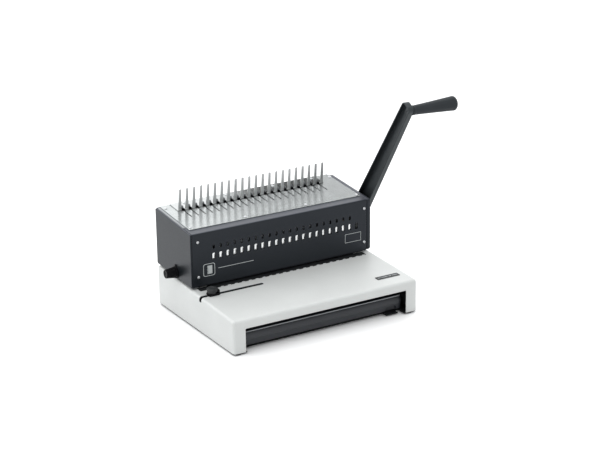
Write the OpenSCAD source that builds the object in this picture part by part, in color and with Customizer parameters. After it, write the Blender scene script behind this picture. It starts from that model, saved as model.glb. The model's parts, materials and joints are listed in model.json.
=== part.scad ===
// Comb binding machine: a hand lever punches sheets and opens the comb.
// Machine frame: X = 0 at the case's left face, Y = 0 at its front face, Z = 0 at the base shell's
// bottom edge, +Y towards the back. Each node is then shifted so that the origin lies on the floor
// under the middle of the whole machine's footprint.

/* [Comb standard] */
// Distance from one comb hole to the next
pitch = 14.2875; // [14.2875]
// Number of holes, pins and hooks
hole_count = 21; // [21]
// Length of one punched hole, along the row
pin_w = 8; // [7.6:0.1:8.2]
// Width of one punched hole
pin_d = 3; // [2.8:0.1:3.2]

/* [Base] */
// Width of the base
base_w = 379; // [375:0.5:380]
// Length of the base in front of the case
base_front = 151.5; // [150:0.5:156]
// Length of the base behind the case's front face
base_back = 137; // [137:0.5:142]
// Height of the base shell at its front edge
base_h = 60; // [58:0.5:62]
// Upward slope of the base top, in degrees
deck_angle = 2.6; // [2.4:0.1:2.8]
// Thickness of the base sheet
base_t = 1.6; // [1.4:0.1:1.8]
// Radius of the base's folded edges
base_r = 5; // [3:0.5:6]
// Height of the feet below the shell's edge
foot_h = 4; // [3.5:0.5:6]
// Diameter of a foot
foot_dia = 18; // [16:1:20]

/* [Base opening and drawer] */
// Left side of the front opening
bay_x0 = 23.5; // [23:0.5:24]
// Right side of the front opening
bay_x1 = 355.7; // [355:0.1:356]
// Height of the front opening
bay_h = 43.2; // [40:0.1:43.4]
// Distance of the drawer front behind the base's front face
drawer_recess = 12; // [10:1:16]
// Height of the drawer front's top edge
drawer_top = 31; // [29:0.5:34]
// Height of the drawer front's bottom edge
drawer_bottom = 4; // [3:0.5:5]
// Depth of the chip tray
tray_depth = 186; // [150:1:190]

/* [Case] */
// Depth of the case
case_d = 136.3; // [136:0.1:136.8]
// Gap for sheets between the base top and the case
case_gap = 3.8; // [3.4:0.1:4.2]
// Height of the case's top at its front face
case_top = 171.7; // [171:0.1:173]
// Upward slope of the case top, in degrees
top_angle = 5.17; // [5:0.01:5.3]
// Thickness of the case's front and rear sheet
panel_t = 2; // [1.6:0.1:2]
// Thickness of the left side panel
side_t = 3; // [2.6:0.1:3]
// Left face of the right side panel
right_panel_x = 367; // [367:0.1:367.2]
// Left face of the right cover
cover_x0 = 369.4; // [369.4:0.1:369.6]
// Right face of the right cover
cover_x1 = 377.5; // [377:0.1:377.8]

/* [Comb opener] */
// First tine's place along the row
tine_x0 = 32; // [31.8:0.1:32.2]
// Front face of the tines, along the sloped top
tine_y = 100.5; // [100:0.5:101]
// Height of a tine above the top plate
tine_h = 44; // [40:0.5:45]
// Width of a tine at its foot
tine_w0 = 6.2; // [5.8:0.1:6.2]
// Width of a tine at its tip
tine_w1 = 4.2; // [3:0.1:4.4]

/* [Punch] */
// First pin's place along the row
pin_x0 = 46.1; // [46:0.1:46.2]
// Distance of the pins behind the case's front face
pin_y = 12; // [12]
// How far the pins travel
punch_stroke = 15.2; // [15.2]
// Height of the pins' lower ends at rest
pin_z0 = 73.2; // [73:0.1:73.5]

/* [Lever] */
// Shaft's distance behind the case's front face
shaft_y = 56; // [56]
// Shaft's height
shaft_z = 121; // [121]
// Diameter of the main shaft
shaft_dia = 14; // [14]
// Forward lean of the lever at rest, in degrees
lever_lean = 34.4; // [34:0.1:35]
// How far the lever pulls, in degrees
lever_pull = 50; // [50]
// Distance from the shaft to the grip's axis
lever_len = 295; // [290:1:300]
// Width of the lever at the grip
lever_w1 = 25; // [24.5:0.5:26]
// Width of the lever at the shaft
lever_w0 = 39; // [38:0.5:40]
// Thickness of the lever
lever_t = 11; // [10:0.5:11]
// Length of the hand grip
grip_len = 93.8; // [88:0.1:96]
// Diameter of the grip at its small end
grip_dia0 = 18; // [17:0.5:20]
// Diameter of the grip at its large end
grip_dia1 = 27; // [24:0.5:28]

/* [Knobs and guide] */
// Knob shaft's distance behind the case's front face
knob_y = 60; // [60]
// Knob shaft's height
knob_z = 84; // [84]
// Length of the margin knob outside the case
knob_len = 22; // [20:0.5:24]
// Throw of the eccentrics that move the sheet stop
stop_throw = 2.3; // [2.3]
// Centre line of the edge guide's slot
slot_y = -31.5; // [-32:0.1:-31]
// Right end of the edge guide's slot
slot_x1 = 127.7; // [127:0.1:130]
// Thumb knob's place along the slot
thumb_x = 23.5; // [23:0.1:25]
// Width of the edge guide's slot
slot_w = 6.6; // [6:0.2:7]

/* [Hidden] */
$fn = 48;
eps = 0.01;
running = 0.05;

// Whole footprint
machine_x0 = -knob_len;
lever_x0 = cover_x1 + 1;
lever_x1 = lever_x0 + lever_t;
grip_x0 = lever_x1 + 1.7;
machine_x1 = grip_x0 + grip_len;
mid_x = (machine_x0 + machine_x1) / 2;
mid_y = (base_back - base_front) / 2;

// Inner frame
frame_t = 2.5;
left_frame_x = 19;
right_frame_x = 356;
frame_inner0 = left_frame_x + frame_t;
frame_inner1 = right_frame_x;
flange_t = 2;
plate_t = 1.5;
front_flange = 32;

// Punch
bar_y0 = 5;
bar_y1 = 19;
lower_guide_z = [73, 82];
upper_guide_z = [104, 113];
punch_bar_z = [147, 159];
rod_r = 4;
rod_top = 166;
guide_rod_x = [pin_x0 - pitch, pin_x0 + hole_count * pitch];
crank_r = punch_stroke / (2 * sin(lever_pull / 2));
crank_x = [50, 321];
crank_w = 7;
arm_x = [58, 314];
link_w = 6;
link_pin_r = 4;

// Comb opener
opener_r = 35;
opener_x = [84, 286];
bracket_x = [91, 279];
slider_w = [-4, -2.5];
hook_t = 1.5;
window_w = 8;
window_y = [97, 111.5];
slot_front = 68.5;
// Finger notch in the drawer front, along the row
notch = [bay_x1 - 37, bay_x1 - 12];

// Sheet stop
ecc_r = 8;
ecc_x = [47, 321];
stop_plate_z = [71, 72.5];
stop_lip = [16.5, 18];

// Screws
m4_r = 2;
head_r = 3.5;
head_h = 1.5;

// Heights of the sloped surfaces
function deck_z(y) = base_h + (y + base_front) * tan(deck_angle);
function case_bottom(y) = deck_z(y) + case_gap / cos(deck_angle);
function case_roof(y) = case_top + y * tan(top_angle);

// Outline with rounded corners
function unit(v) = v / norm(v);
function corner(a, b, c, r, n) =
    let (
        u = unit(a - b),
        v = unit(c - b),
        half = acos(u * v) / 2,
        mid = b + unit(u + v) * r / sin(half),
        s = b + u * r / tan(half) - mid,
        turn = cross(s, b + v * r / tan(half) - mid) > 0 ? 1 : -1
    )
    [for (i = [0:n]) let (t = turn * (180 - 2 * half) * i / n)
        mid + [s.x * cos(t) - s.y * sin(t), s.x * sin(t) + s.y * cos(t)]];
function rounded(pts, radii, n = 6) =
    let (k = len(pts))
    [for (i = [0:k - 1]) each
        radii[i] == 0 ? [pts[i]] : corner(pts[(i + k - 1) % k], pts[i], pts[(i + 1) % k], radii[i], n)];
function box_points(x0, y0, x1, y1) = [[x0, y0], [x1, y0], [x1, y1], [x0, y1]];
function round_box(x0, y0, x1, y1, r) = rounded(box_points(x0, y0, x1, y1), [r, r, r, r]);

// Placing
module machine() {
    translate([-mid_x, -mid_y, foot_h]) children();
}
module along_x(x0, x1) {
    translate([x0, 0, 0]) rotate([90, 0, 90]) linear_extrude(x1 - x0) children();
}
module along_y(y0, y1) {
    translate([0, y1, 0]) rotate([90, 0, 0]) linear_extrude(y1 - y0) children();
}
module block(lo, hi) {
    translate(lo) cube(hi - lo);
}
// Stands children on the base top at distance y, square to the slope
module on_deck(y) {
    translate([0, y, deck_z(y)]) rotate([deck_angle, 0, 0]) children();
}
// Lays children in the case's sloped top: Y runs up the slope and Z = 0 is the roof
module on_roof() {
    translate([0, 0, case_top]) rotate([top_angle, 0, 0]) children();
}
module lever_place() {
    translate([0, shaft_y, shaft_z]) rotate([lever_lean, 0, 0]) children();
}
module rod_x(x0, x1, r) {
    translate([x0, 0, 0]) rotate([0, 90, 0]) cylinder(r = r, h = x1 - x0);
}
module rod_y(y0, y1, r) {
    translate([0, y1, 0]) rotate([90, 0, 0]) cylinder(r = r, h = y1 - y0);
}
// Slot shape whose round ends are centred on two points in line
module pill(a, b, r) {
    len = norm(b - a);
    translate(a) rotate(atan2(b.y - a.y, b.x - a.x)) {
        circle(r = r);
        translate([len, 0]) circle(r = r);
        translate([0, -r]) square([len, 2 * r]);
    }
}
// Pan-head screw pointing along -Z, with its head's seat at Z = 0
module screw_down(length, head = head_h) {
    difference() {
        union() {
            cylinder(r1 = head_r, r2 = head_r - 0.6, h = head);
            translate([0, 0, -length]) cylinder(r = m4_r - running, h = length + eps);
        }
        for (a = [0, 90]) rotate(a) block([-2, -0.4, head * 0.5], [2, 0.4, head + 1]);
    }
}

// ---- Base ----
foot_x = [13, base_w - 13];
foot_y = [11.5 - base_front, base_back - 12];

module foot_places() {
    for (x = foot_x) for (y = foot_y) translate([x, y, 0]) children();
}
// Solid wedge of the base, drawn in on every side by `inset`
module base_solid(inset, bottom) {
    r = base_r - inset;
    front = -base_front + inset;
    back = base_back - inset;
    intersection() {
        along_x(inset, base_w - inset)
            polygon(rounded(
                [[front, bottom], [front, deck_z(front) - inset],
                 [back, deck_z(back) - inset], [back, bottom]],
                [0, r, 2, 0]));
        on_deck(-base_front) along_y(-20, 320)
            polygon(rounded(
                [[inset, -120], [inset, -inset], [base_w - inset, -inset], [base_w - inset, -120]],
                [0, r, r, 0]));
        translate([0, 0, bottom]) linear_extrude(140)
            polygon(round_box(inset, front, base_w - inset, back, r));
    }
}
module base_shell() {
    color("#d6dad9") machine() difference() {
        union() {
            difference() {
                base_solid(0, 0);
                base_solid(base_t, -1);
            }
            block([base_t - eps, -base_front + 3, 0], [bay_x0 - 2.5, base_back - 3, base_t]);
            block([bay_x1 + 2.5, -base_front + 3, 0], [base_w - base_t + eps, base_back - 3, base_t]);
        }
        block([bay_x0, -base_front - 5, -1], [bay_x1, -base_front + 5, bay_h]);
        on_deck(slot_y) {
            translate([0, 0, -9]) linear_extrude(20) pill([-10, 0], [slot_x1 - slot_w / 2, 0], slot_w / 2);
        }
        translate([0, 0, -20]) linear_extrude(120)
            polygon(box_points(die_x0, die_y0, die_x1, die_y1));
        riser_screw_places() translate([0, 0, -base_t - 3]) cylinder(r = m4_r + 0.1, h = 8);
        foot_places() translate([0, 0, -2]) cylinder(r = m4_r, h = 6);
    }
}
module bottom_plate() {
    color("#2b2d2f") machine() difference() {
        translate([0, 0, -1.2]) linear_extrude(1.2)
            polygon(round_box(0.8, -base_front + 0.8, base_w - 0.8, base_back - 0.8, 4));
        block([bay_x0 + 3, -base_front - 5, -2], [bay_x1 - 3, -base_front + 9, 1]);
        block([bay_x0 + 3, -base_front, -2], [notch[0], drawer_y + 9, 1]);
        block([notch[1], -base_front, -2], [bay_x1 - 3, drawer_y + 9, 1]);
        foot_places() translate([0, 0, -2]) cylinder(r = m4_r + 0.1, h = 6);
    }
}
module rubber_feet() {
    color("#1d1d1f") machine() foot_places() difference() {
        translate([0, 0, -foot_h]) cylinder(r1 = foot_dia / 2 - 0.6, r2 = foot_dia / 2, h = foot_h - 1.2);
        translate([0, 0, -foot_h - 1]) cylinder(r = 5, h = 2);
        translate([0, 0, -foot_h - 1]) cylinder(r = m4_r + 0.1, h = foot_h + 2);
    }
}
module foot_screws() {
    color("#b5b8bb") machine() foot_places()
        translate([0, 0, 1 - foot_h - 0.02]) mirror([0, 0, 1]) screw_down(5, 0.9);
}
module riser_screw_places() {
    for (x = [29, 349]) for (y = [82, 112]) on_deck(y) translate([x, 0, 0]) children();
}

// ---- Chip drawer ----
drawer_x0 = bay_x0 + 1.5;
drawer_x1 = bay_x1 - 1.5;
drawer_y = drawer_recess - base_front;
tray_y1 = drawer_y + 11 + tray_depth;

module drawer_front() {
    back = drawer_y + 11;
    color("#3a3c40") machine() difference() {
        intersection() {
            along_x(drawer_x0, drawer_x1) polygon(rounded(
                [[back, drawer_bottom], [drawer_y + 4, drawer_bottom], [drawer_y, 10], [drawer_y, 24],
                 [drawer_y + 5, drawer_top], [back, drawer_top]],
                [0, 3, 6, 8, 4, 0]));
            linear_extrude(40) polygon(rounded(
                box_points(drawer_x0, drawer_y, drawer_x1, back), [8, 8, 0, 0]));
        }
        along_y(drawer_y - 1, drawer_y + 8) polygon(round_box(notch[0], 0, notch[1], 13, 3));
    }
}
module drawer_tray() {
    wall = 1.2;
    color("#54565a") machine() difference() {
        block([drawer_x0 + 1, drawer_y + 11, 1.5], [drawer_x1 - 1, tray_y1, 26]);
        block([drawer_x0 + 1 + wall, drawer_y + 11 + wall, 1.5 + wall],
              [drawer_x1 - 1 - wall, tray_y1 - wall, 30]);
    }
}
module drawer_rail(side) {
    rail_l = [drawer_y + 8, tray_y1 + 3];
    x = side < 0 ? bay_x0 - 1.4 : bay_x1 + 1.4;
    along_y(rail_l[0], rail_l[1])
        polygon([[x, 0], [x - side * 6.5, 0], [x - side * 6.5, 1.2], [x - side * 1.4, 1.2],
                 [x - side * 1.4, 9], [x, 9]]);
}
module drawer_rails() {
    color("#8b8e92") machine() {
        drawer_rail(-1);
        drawer_rail(1);
    }
}

// ---- Things on the base top ----
module entry_strip() {
    front = -9;
    notch_l = 6.5;
    color("#26282a") machine() on_deck(0) difference() {
        linear_extrude(0.5) polygon(box_points(13, front, 362, die_y0 - 0.3));
        for (i = [0:hole_count + 2])
            translate([25 + i * pitch, front - 1, -1]) cube([notch_l, 3.6, 3]);
    }
}
module base_label_plate() {
    color("#4a4d50") machine() on_deck(-115)
        linear_extrude(0.8) polygon(round_box(315, -5.8, 363, 5.8, 0.8));
}
module edge_guide() {
    color("#232426") machine() on_deck(slot_y) difference() {
        union() {
            translate([0, 0, 0.08]) linear_extrude(3.6)
                polygon(round_box(thumb_x - 8.5, -7.5, thumb_x + 13, 7.5, 2));
            along_y(-5.5, 5.5)
                polygon(rounded(box_points(thumb_x + 9.8, 1, thumb_x + 13, 9.5), [0, 0, 1, 1]));
            block([thumb_x - 4.5, 0.3 - slot_w / 2, -base_t], [thumb_x + 4.5, slot_w / 2 - 0.3, 1]);
        }
        translate([thumb_x, 0, -5]) cylinder(r = 2.6, h = 20);
    }
}
module guide_nut() {
    color("#9a9da0") machine() on_deck(slot_y) difference() {
        translate([thumb_x - 7, -6, -base_t - 3.1]) cube([14, 12, 3]);
        translate([thumb_x, 0, -10]) cylinder(r = 2.5 + running, h = 20);
    }
}
module thumb_knob() {
    ribs = 28;
    head = [7.2, 13.2];
    color("#2e3032") machine() on_deck(slot_y) translate([thumb_x, 0, 0]) {
        difference() {
            union() {
                translate([0, 0, 3.9]) cylinder(r = 7.4, h = 3.4);
                translate([0, 0, head[0]]) cylinder(r = 9.5, h = head[1] - head[0]);
            }
            for (i = [0:ribs - 1])
                rotate(i * 360 / ribs) translate([9.9, 0, 5]) cylinder(r = 0.7, h = 10, $fn = 6);
            translate([0, 0, head[1] - 1]) cylinder(r = 5.5, h = 2);
        }
        translate([0, 0, -6]) cylinder(r = 2.5, h = 12);
    }
}

// ---- Sheet punch ----
die_x0 = 34;
die_x1 = 344;
die_y0 = 5.5;
die_y1 = 19;
die_gap = 0.15;

module pin_columns(clear) {
    for (i = [0:hole_count - 1])
        translate([pin_x0 + i * pitch, pin_y]) square([pin_w + 2 * clear, pin_d + 2 * clear], center = true);
}
module die_plate() {
    color("#9fa3a6") machine() difference() {
        on_deck(0) {
            block([die_x0 + die_gap, die_y0 + die_gap + 0.1, -4],
                  [die_x1 - die_gap, die_y1 - die_gap - 0.1, -0.05]);
            block([die_x0 - 4, die_y0 - 3, -4], [die_x1 + 4, die_y1 + 2.5, -base_t - 0.05]);
        }
        translate([0, 0, 40]) linear_extrude(60) pin_columns(running);
    }
}
module guide_bar(z) {
    difference() {
        block([frame_inner0, bar_y0, z[0]], [frame_inner1, bar_y1, z[1]]);
        translate([0, 0, z[0] - 1]) linear_extrude(z[1] - z[0] + 2) pin_columns(running);
        for (x = guide_rod_x) translate([x, pin_y, z[0] + 3]) cylinder(r = rod_r + 0.02, h = 20);
        frame_screw_holes();
    }
}
module pin_guide() {
    color("#8e9295") machine() guide_bar(lower_guide_z);
}
module upper_guide() {
    color("#8e9295") machine() difference() {
        guide_bar(upper_guide_z);
        for (x = guide_rod_x) translate([x, pin_y, upper_guide_z[0] - 1]) cylinder(r = rod_r + 0.02, h = 20);
    }
}
module guide_rods() {
    z0 = lower_guide_z[0] + 3;
    color("#c9ccce") machine()
        for (x = guide_rod_x) translate([x, pin_y, z0]) cylinder(r = rod_r, h = rod_top - z0);
}
// Plate that hangs behind the punch bar and takes a crank's pin in its slot
module punch_arm(x) {
    mid_y = shaft_y - crank_r * (1 + cos(lever_pull / 2)) / 2;
    z = shaft_z + punch_stroke / 2;
    reach = crank_r * (1 - cos(lever_pull / 2)) / 2 + 0.2;
    difference() {
        along_x(x, x + link_w) union() {
            polygon([[bar_y1 - 1, punch_bar_z[0]], [mid_y + 3, z - 6.6], [mid_y + 4.5, z + 9],
                     [bar_y1 + 8, punch_bar_z[1]], [bar_y1 - 1, punch_bar_z[1]]]);
            pill([mid_y - reach, z], [mid_y + reach, z], 6.6);
            polygon(box_points(mid_y - 12, z - 6.6, mid_y, z + 6.6));
            polygon([[bar_y1 - 1, punch_bar_z[0]], [mid_y - 12, z - 6.6], [mid_y, z], [mid_y, z + 16]]);
        }
        along_x(x - 1, x + link_w + 1) pill([mid_y - reach, z], [mid_y + reach, z], link_pin_r + 0.12);
    }
}
module punch_bar() {
    color("#7d8184") machine() difference() {
        union() {
            block([frame_inner0 + 2.5, bar_y0, punch_bar_z[0]], [frame_inner1 - 2.5, bar_y1, punch_bar_z[1]]);
            for (x = arm_x) punch_arm(x);
        }
        translate([0, 0, punch_bar_z[0] - 1]) linear_extrude(6) pin_columns(0.02);
        for (x = guide_rod_x) translate([x, pin_y, punch_bar_z[0] - 1]) cylinder(r = rod_r + running, h = 20);
    }
}
module punch_pins() {
    color("#dfe2e3") machine()
        translate([0, 0, pin_z0]) linear_extrude(punch_bar_z[0] + 4.9 - pin_z0) pin_columns(0);
}
// Coil spring about the Z axis: a wire section swept by a twisted extrusion
module coil_spring(r, wire, length, turns) {
    rise = length / turns;
    span = 360 * wire / rise;
    steps = 4;
    half = [for (i = [0:steps]) let (s = i / steps * 2 - 1)
        [s * span / 2, wire / 2 * sqrt(max(0, 1 - s * s))]];
    ring = concat(
        [for (p = half) (r + p[1]) * [cos(p[0]), sin(p[0])]],
        [for (i = [steps - 1:-1:1]) let (p = half[i]) (r - p[1]) * [cos(p[0]), sin(p[0])]]);
    linear_extrude(length, twist = -360 * turns, slices = turns * 12, $fn = 8) polygon(ring);
}
module return_springs() {
    z0 = upper_guide_z[1] + 0.1;
    color("#a9adb0") machine()
        for (x = guide_rod_x) translate([x, pin_y, z0]) coil_spring(5.3, 1.4, punch_bar_z[0] - z0 - 0.1, 6);
}

// ---- Main shaft ----
module main_shaft() {
    color("#b9bcbf") machine() translate([0, shaft_y, shaft_z])
        rod_x(left_frame_x - 6, lever_x1 - 2.6, shaft_dia / 2);
}
module shaft_bushes() {
    color("#b58b4a") machine() translate([0, shaft_y, shaft_z]) {
        difference() {
            union() {
                rod_x(left_frame_x - 3, frame_inner0 + 4, 10);
                rod_x(frame_inner0, frame_inner0 + 4, 13);
            }
            rod_x(0, 40, shaft_dia / 2 + running);
        }
        difference() {
            union() {
                rod_x(right_frame_x - 4, right_frame_x + frame_t + 3, 10);
                rod_x(right_frame_x - 4, right_frame_x, 13);
            }
            rod_x(340, 380, shaft_dia / 2 + running);
        }
    }
}
// Crank on the shaft, with its arm along +Z before turning by `angle`
module crank(x0, x1, radius, angle, pin0, pin1) {
    translate([0, shaft_y, shaft_z]) rotate([angle, 0, 0]) difference() {
        union() {
            rod_x(x0, x1, 12.5);
            translate([0, 0, radius]) rod_x(x0, x1, 6.5);
            block([x0, -6.5, 0], [x1, 6.5, radius]);
            translate([0, 0, radius]) rod_x(pin0, pin1, link_pin_r);
        }
        rod_x(x0 - 1, x1 + 1, shaft_dia / 2 + 0.02);
    }
}
module punch_cranks() {
    rest = 90 - lever_pull / 2;
    color("#6f7376") machine() {
        crank(crank_x[0], crank_x[0] + crank_w, crank_r, rest, crank_x[0], arm_x[0] + link_w + 1);
        crank(crank_x[1], crank_x[1] + crank_w, crank_r, rest, arm_x[1] - 1, crank_x[1] + crank_w);
    }
}
module opener_arms() {
    rest = -lever_pull / 2;
    color("#6f7376") machine() {
        crank(opener_x[0], opener_x[0] + link_w, opener_r, rest, opener_x[0], bracket_x[0] + link_w + 1);
        crank(opener_x[1], opener_x[1] + link_w, opener_r, rest, bracket_x[1] - 1, opener_x[1] + link_w);
    }
}

// ---- Comb opener ----
function hook_x(i) = tine_x0 + (i + 0.5) * pitch;

module tine_shape() {
    tip = tine_w1 / 2;
    polygon([[-tine_w0 / 2, plate_t], [tine_w0 / 2, plate_t], [tip, tine_h - tip], [-tip, tine_h - tip]]);
    translate([0, tine_h - tip]) circle(r = tip);
}
module windows() {
    for (i = [0:hole_count - 1])
        translate([hook_x(i) - window_w / 2, window_y[0]]) square([window_w, window_y[1] - window_y[0]]);
}
tine_screws = [[54, 126], [140.5, 126], [240, 126], [325, 126]];
roof_screws = [[13.9, 121.6], [14.4, 26.5], [362.5, 120], [362.5, 24], [125.1, 25.6], [251.7, 25.6]];

module tine_plate() {
    color("#c3c7c8") machine() on_roof() {
        difference() {
            translate([0, 0, plate_t]) linear_extrude(plate_t)
                difference() {
                    polygon(box_points(tine_x0 - 4, tine_y, tine_x0 + hole_count * pitch + 4, case_d - 2));
                    windows();
                }
            for (p = tine_screws) translate([p.x, p.y, 0]) cylinder(r = m4_r + 0.1, h = 8);
        }
        for (i = [0:hole_count])
            translate([tine_x0 + i * pitch, 0, 0]) along_y(tine_y, tine_y + 2) tine_shape();
    }
}
module tine_plate_screws() {
    color("#d8dadb") machine() on_roof()
        for (p = tine_screws) translate([p.x, p.y, 2 * plate_t + 0.02]) screw_down(4.6);
}
module top_plate() {
    color("#cdd1cf") machine() on_roof() difference() {
        translate([0, 0, 0.02]) linear_extrude(plate_t - 0.02) difference() {
            polygon(round_box(8, 18, 366, case_d - 1.2, 1));
            windows();
            for (i = [0:hole_count - 1])
                pill([hook_x(i), slot_front], [hook_x(i), window_y[0] + 2], 1);
            for (i = [2, 9, 17]) translate([hook_x(i), 78]) circle(r = 1.8);
            for (p = tine_screws) translate(p) circle(r = m4_r);
            for (p = roof_screws) translate(p) circle(r = m4_r + 0.1);
        }
    }
}
module top_plate_screws() {
    color("#d8dadb") machine() on_roof()
        for (p = roof_screws) translate([p.x, p.y, plate_t + 0.02]) screw_down(4.5);
}
// Curled hook seen from the side, Y along the roof and Z above it
module hook_shape() {
    r = 4.1;
    stem = [106.8, 109.8];
    centre = [stem[1] - r, 4.9];
    difference() {
        union() {
            polygon(box_points(stem[0], slider_w[1] - 0.5, stem[1], centre.y));
            translate(centre) circle(r = r, $fn = 24);
        }
        translate(centre) circle(r = r - 1.8, $fn = 24);
        polygon(box_points(centre.x - 6, centre.y - 6, stem[0], centre.y - 0.6));
    }
}
module slider_bracket(x) {
    pin_at = [shaft_y + opener_r * sin(lever_pull / 2), shaft_z + opener_r * cos(lever_pull / 2)];
    top = case_roof(pin_at.x) - 3.4;
    difference() {
        along_x(x, x + link_w) polygon([
            [pin_at.x - 8, pin_at.y - 7.5], [pin_at.x + 8, pin_at.y - 7.5],
            [pin_at.x + 8, top + 0.7], [pin_at.x - 8, top - 0.7]]);
        along_x(x - 1, x + link_w + 1)
            pill([pin_at.x, pin_at.y - 0.3], [pin_at.x, pin_at.y + 5.1], link_pin_r + 0.25);
    }
}
module hook_slider() {
    color("#8c9092") machine() {
        on_roof() {
            block([frame_inner0 + 3.5, 62, slider_w[0]], [frame_inner1 - 3.5, 112, slider_w[1]]);
            for (i = [0:hole_count - 1])
                translate([hook_x(i), 0, 0]) along_x(-hook_t / 2, hook_t / 2) hook_shape();
        }
        for (x = bracket_x) slider_bracket(x);
    }
}
module slider_rail(x, side) {
    along_y(front_flange + 2, 118)
        polygon([[x, -6.5], [x + side * 9, -6.5], [x + side * 9, slider_w[0] - running],
                 [x + side * 3.2, slider_w[0] - running], [x + side * 3.2, -0.4], [x, -0.4]]);
}
module slider_rails() {
    color("#77797c") machine() on_roof() {
        slider_rail(frame_inner0 + 0.02, 1);
        slider_rail(frame_inner1 - 0.02, -1);
    }
}

// ---- Inner frame ----
frame_screw_at = [[pin_y, 77.5], [pin_y, 108.5], [110, 95], [112, 158]];

module frame_screw_holes() {
    for (p = frame_screw_at) translate([0, p.x, p.y]) rod_x(-5, frame_inner0 + 5.65, m4_r + 0.02);
    for (p = frame_screw_at) translate([0, p.x, p.y]) rod_x(frame_inner1 - 5.65, 400, m4_r + 0.02);
}
module frame_screws() {
    color("#a4a7aa") machine() for (p = frame_screw_at) {
        translate([left_frame_x - 0.02, p.x, p.y]) rotate([0, -90, 0]) screw_down(8);
        translate([right_frame_x + frame_t + 0.02, p.x, p.y]) rotate([0, 90, 0]) screw_down(8);
    }
}
// Side of the frame: x is the plate's left face, out the far side of its outward flanges
module side_frame(x, out) {
    side = out < x ? -1 : 1;
    inner = side < 0 ? x + frame_t : x;
    back = 132.5;
    flange_x = [min(out, x + frame_t), max(out, x)];
    difference() {
        union() {
            along_x(x, x + frame_t) polygon([
                [panel_t + 0.3, case_bottom(4) + 6], [bar_y1 + 6, case_bottom(20) + 6],
                [bar_y1 + 8, case_bottom(27) + 0.1], [back, case_bottom(back) + 0.1],
                [back, case_roof(back) - 0.1], [front_flange + 1, case_roof(front_flange) - 0.1],
                [front_flange + 1, case_roof(0) - 3], [panel_t + 0.3, case_roof(0) - 3]]);
            block([flange_x[0], panel_t + 0.3, 80], [flange_x[1], panel_t + 0.3 + flange_t, 163]);
            block([flange_x[0], back - flange_t, 82], [flange_x[1], back, 178]);
            on_roof() block([flange_x[0], front_flange + 1, -flange_t], [flange_x[1], back, -0.02]);
            on_deck(70) block([min(inner, inner - side * 14), 0, case_gap + 0.02],
                              [max(inner, inner - side * 14), 58, case_gap + flange_t]);
        }
        translate([0, shaft_y, shaft_z]) rod_x(-5, 400, 10.02);
        translate([0, knob_y, knob_z]) rod_x(-5, 400, 4 + running);
        frame_screw_holes();
        front_screw_holes();
        rear_screw_holes();
        riser_screw_places() cylinder(r = m4_r, h = 14);
        on_roof() for (p = roof_screws) translate([p.x, p.y, -5]) cylinder(r = m4_r, h = 8);
    }
}
module left_frame() {
    color("#5d6063") machine() side_frame(left_frame_x, side_t + 0.3);
}
module right_frame() {
    color("#5d6063") machine() side_frame(right_frame_x, right_panel_x - 0.3);
}
module tie_rods() {
    color("#9a9da0") machine() difference() {
        for (p = [frame_screw_at[2], frame_screw_at[3]])
            translate([0, p.x, p.y]) rod_x(frame_inner0, frame_inner1, 5);
        frame_screw_holes();
    }
}
module riser_blocks() {
    color("#2b2d2f") machine() difference() {
        on_deck(70) for (x = [frame_inner0, frame_inner1 - 14]) block([x, 0, 0.02], [x + 14, 56, case_gap]);
        riser_screw_places() translate([0, 0, -1]) cylinder(r = m4_r + 0.1, h = 8);
    }
}
module riser_screws() {
    color("#a4a7aa") machine() riser_screw_places()
        translate([0, 0, -base_t - 0.02]) mirror([0, 0, 1]) screw_down(base_t + case_gap + 3);
}

// ---- Case ----
front_screw_at = [[14.4, 155.5], [14.4, 90], [363, 154.8], [363, 89]];
rear_screw_at = [[14.4, 160], [14.4, 92], [363, 160], [363, 92]];
upper_hole_z = 141.2;
window_z = [117.2, 130.1];

module front_screw_holes() {
    for (p = front_screw_at) translate([p.x, 0, p.y]) rod_y(-5, 12, m4_r);
}
module rear_screw_holes() {
    for (p = rear_screw_at) translate([p.x, 0, p.y]) rod_y(case_d - 12, case_d + 5, m4_r);
}
module front_panel() {
    x0 = side_t + 0.2;
    x1 = right_panel_x - 0.2;
    r = 3;
    t = panel_t;
    lip = 7;
    bottom = case_bottom(0);
    hem = case_bottom(lip);
    roof_end = front_flange * cos(top_angle);
    color("#2f3336") machine() difference() {
        along_x(x0, x1) polygon(concat(
            rounded([[lip, hem], [0, bottom], [0, case_roof(0)], [roof_end, case_roof(roof_end)]],
                    [0, 2, r, 0]),
            [[roof_end, case_roof(roof_end) - t]],
            rounded([[roof_end, case_roof(roof_end) - t], [t, case_roof(t) - t], [t, bottom + t]],
                    [0, r - 2, 0]),
            [[lip, hem + t]]));
        translate([0, 1, 0]) along_y(-5, 5) {
            for (i = [0:hole_count - 1]) {
                x = pin_x0 + i * pitch;
                pill([x, upper_hole_z - 1.8], [x, upper_hole_z + 1.8], 2.2);
            }
            for (i = [0:hole_count]) {
                x = pin_x0 + i * pitch;
                polygon(round_box(x - 2.9, window_z[0], x + 2.9, window_z[1], 2));
            }
        }
        for (p = front_screw_at) translate([p.x, 0, p.y]) rod_y(-5, 12, m4_r + 0.1);
        on_roof() for (p = roof_screws) translate([p.x, p.y, -5]) cylinder(r = m4_r, h = 8);
    }
}
module front_panel_screws() {
    color("#d8dadb") machine()
        for (p = front_screw_at) translate([p.x, -0.02, p.y]) rotate([90, 0, 0]) screw_down(6);
}
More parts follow.
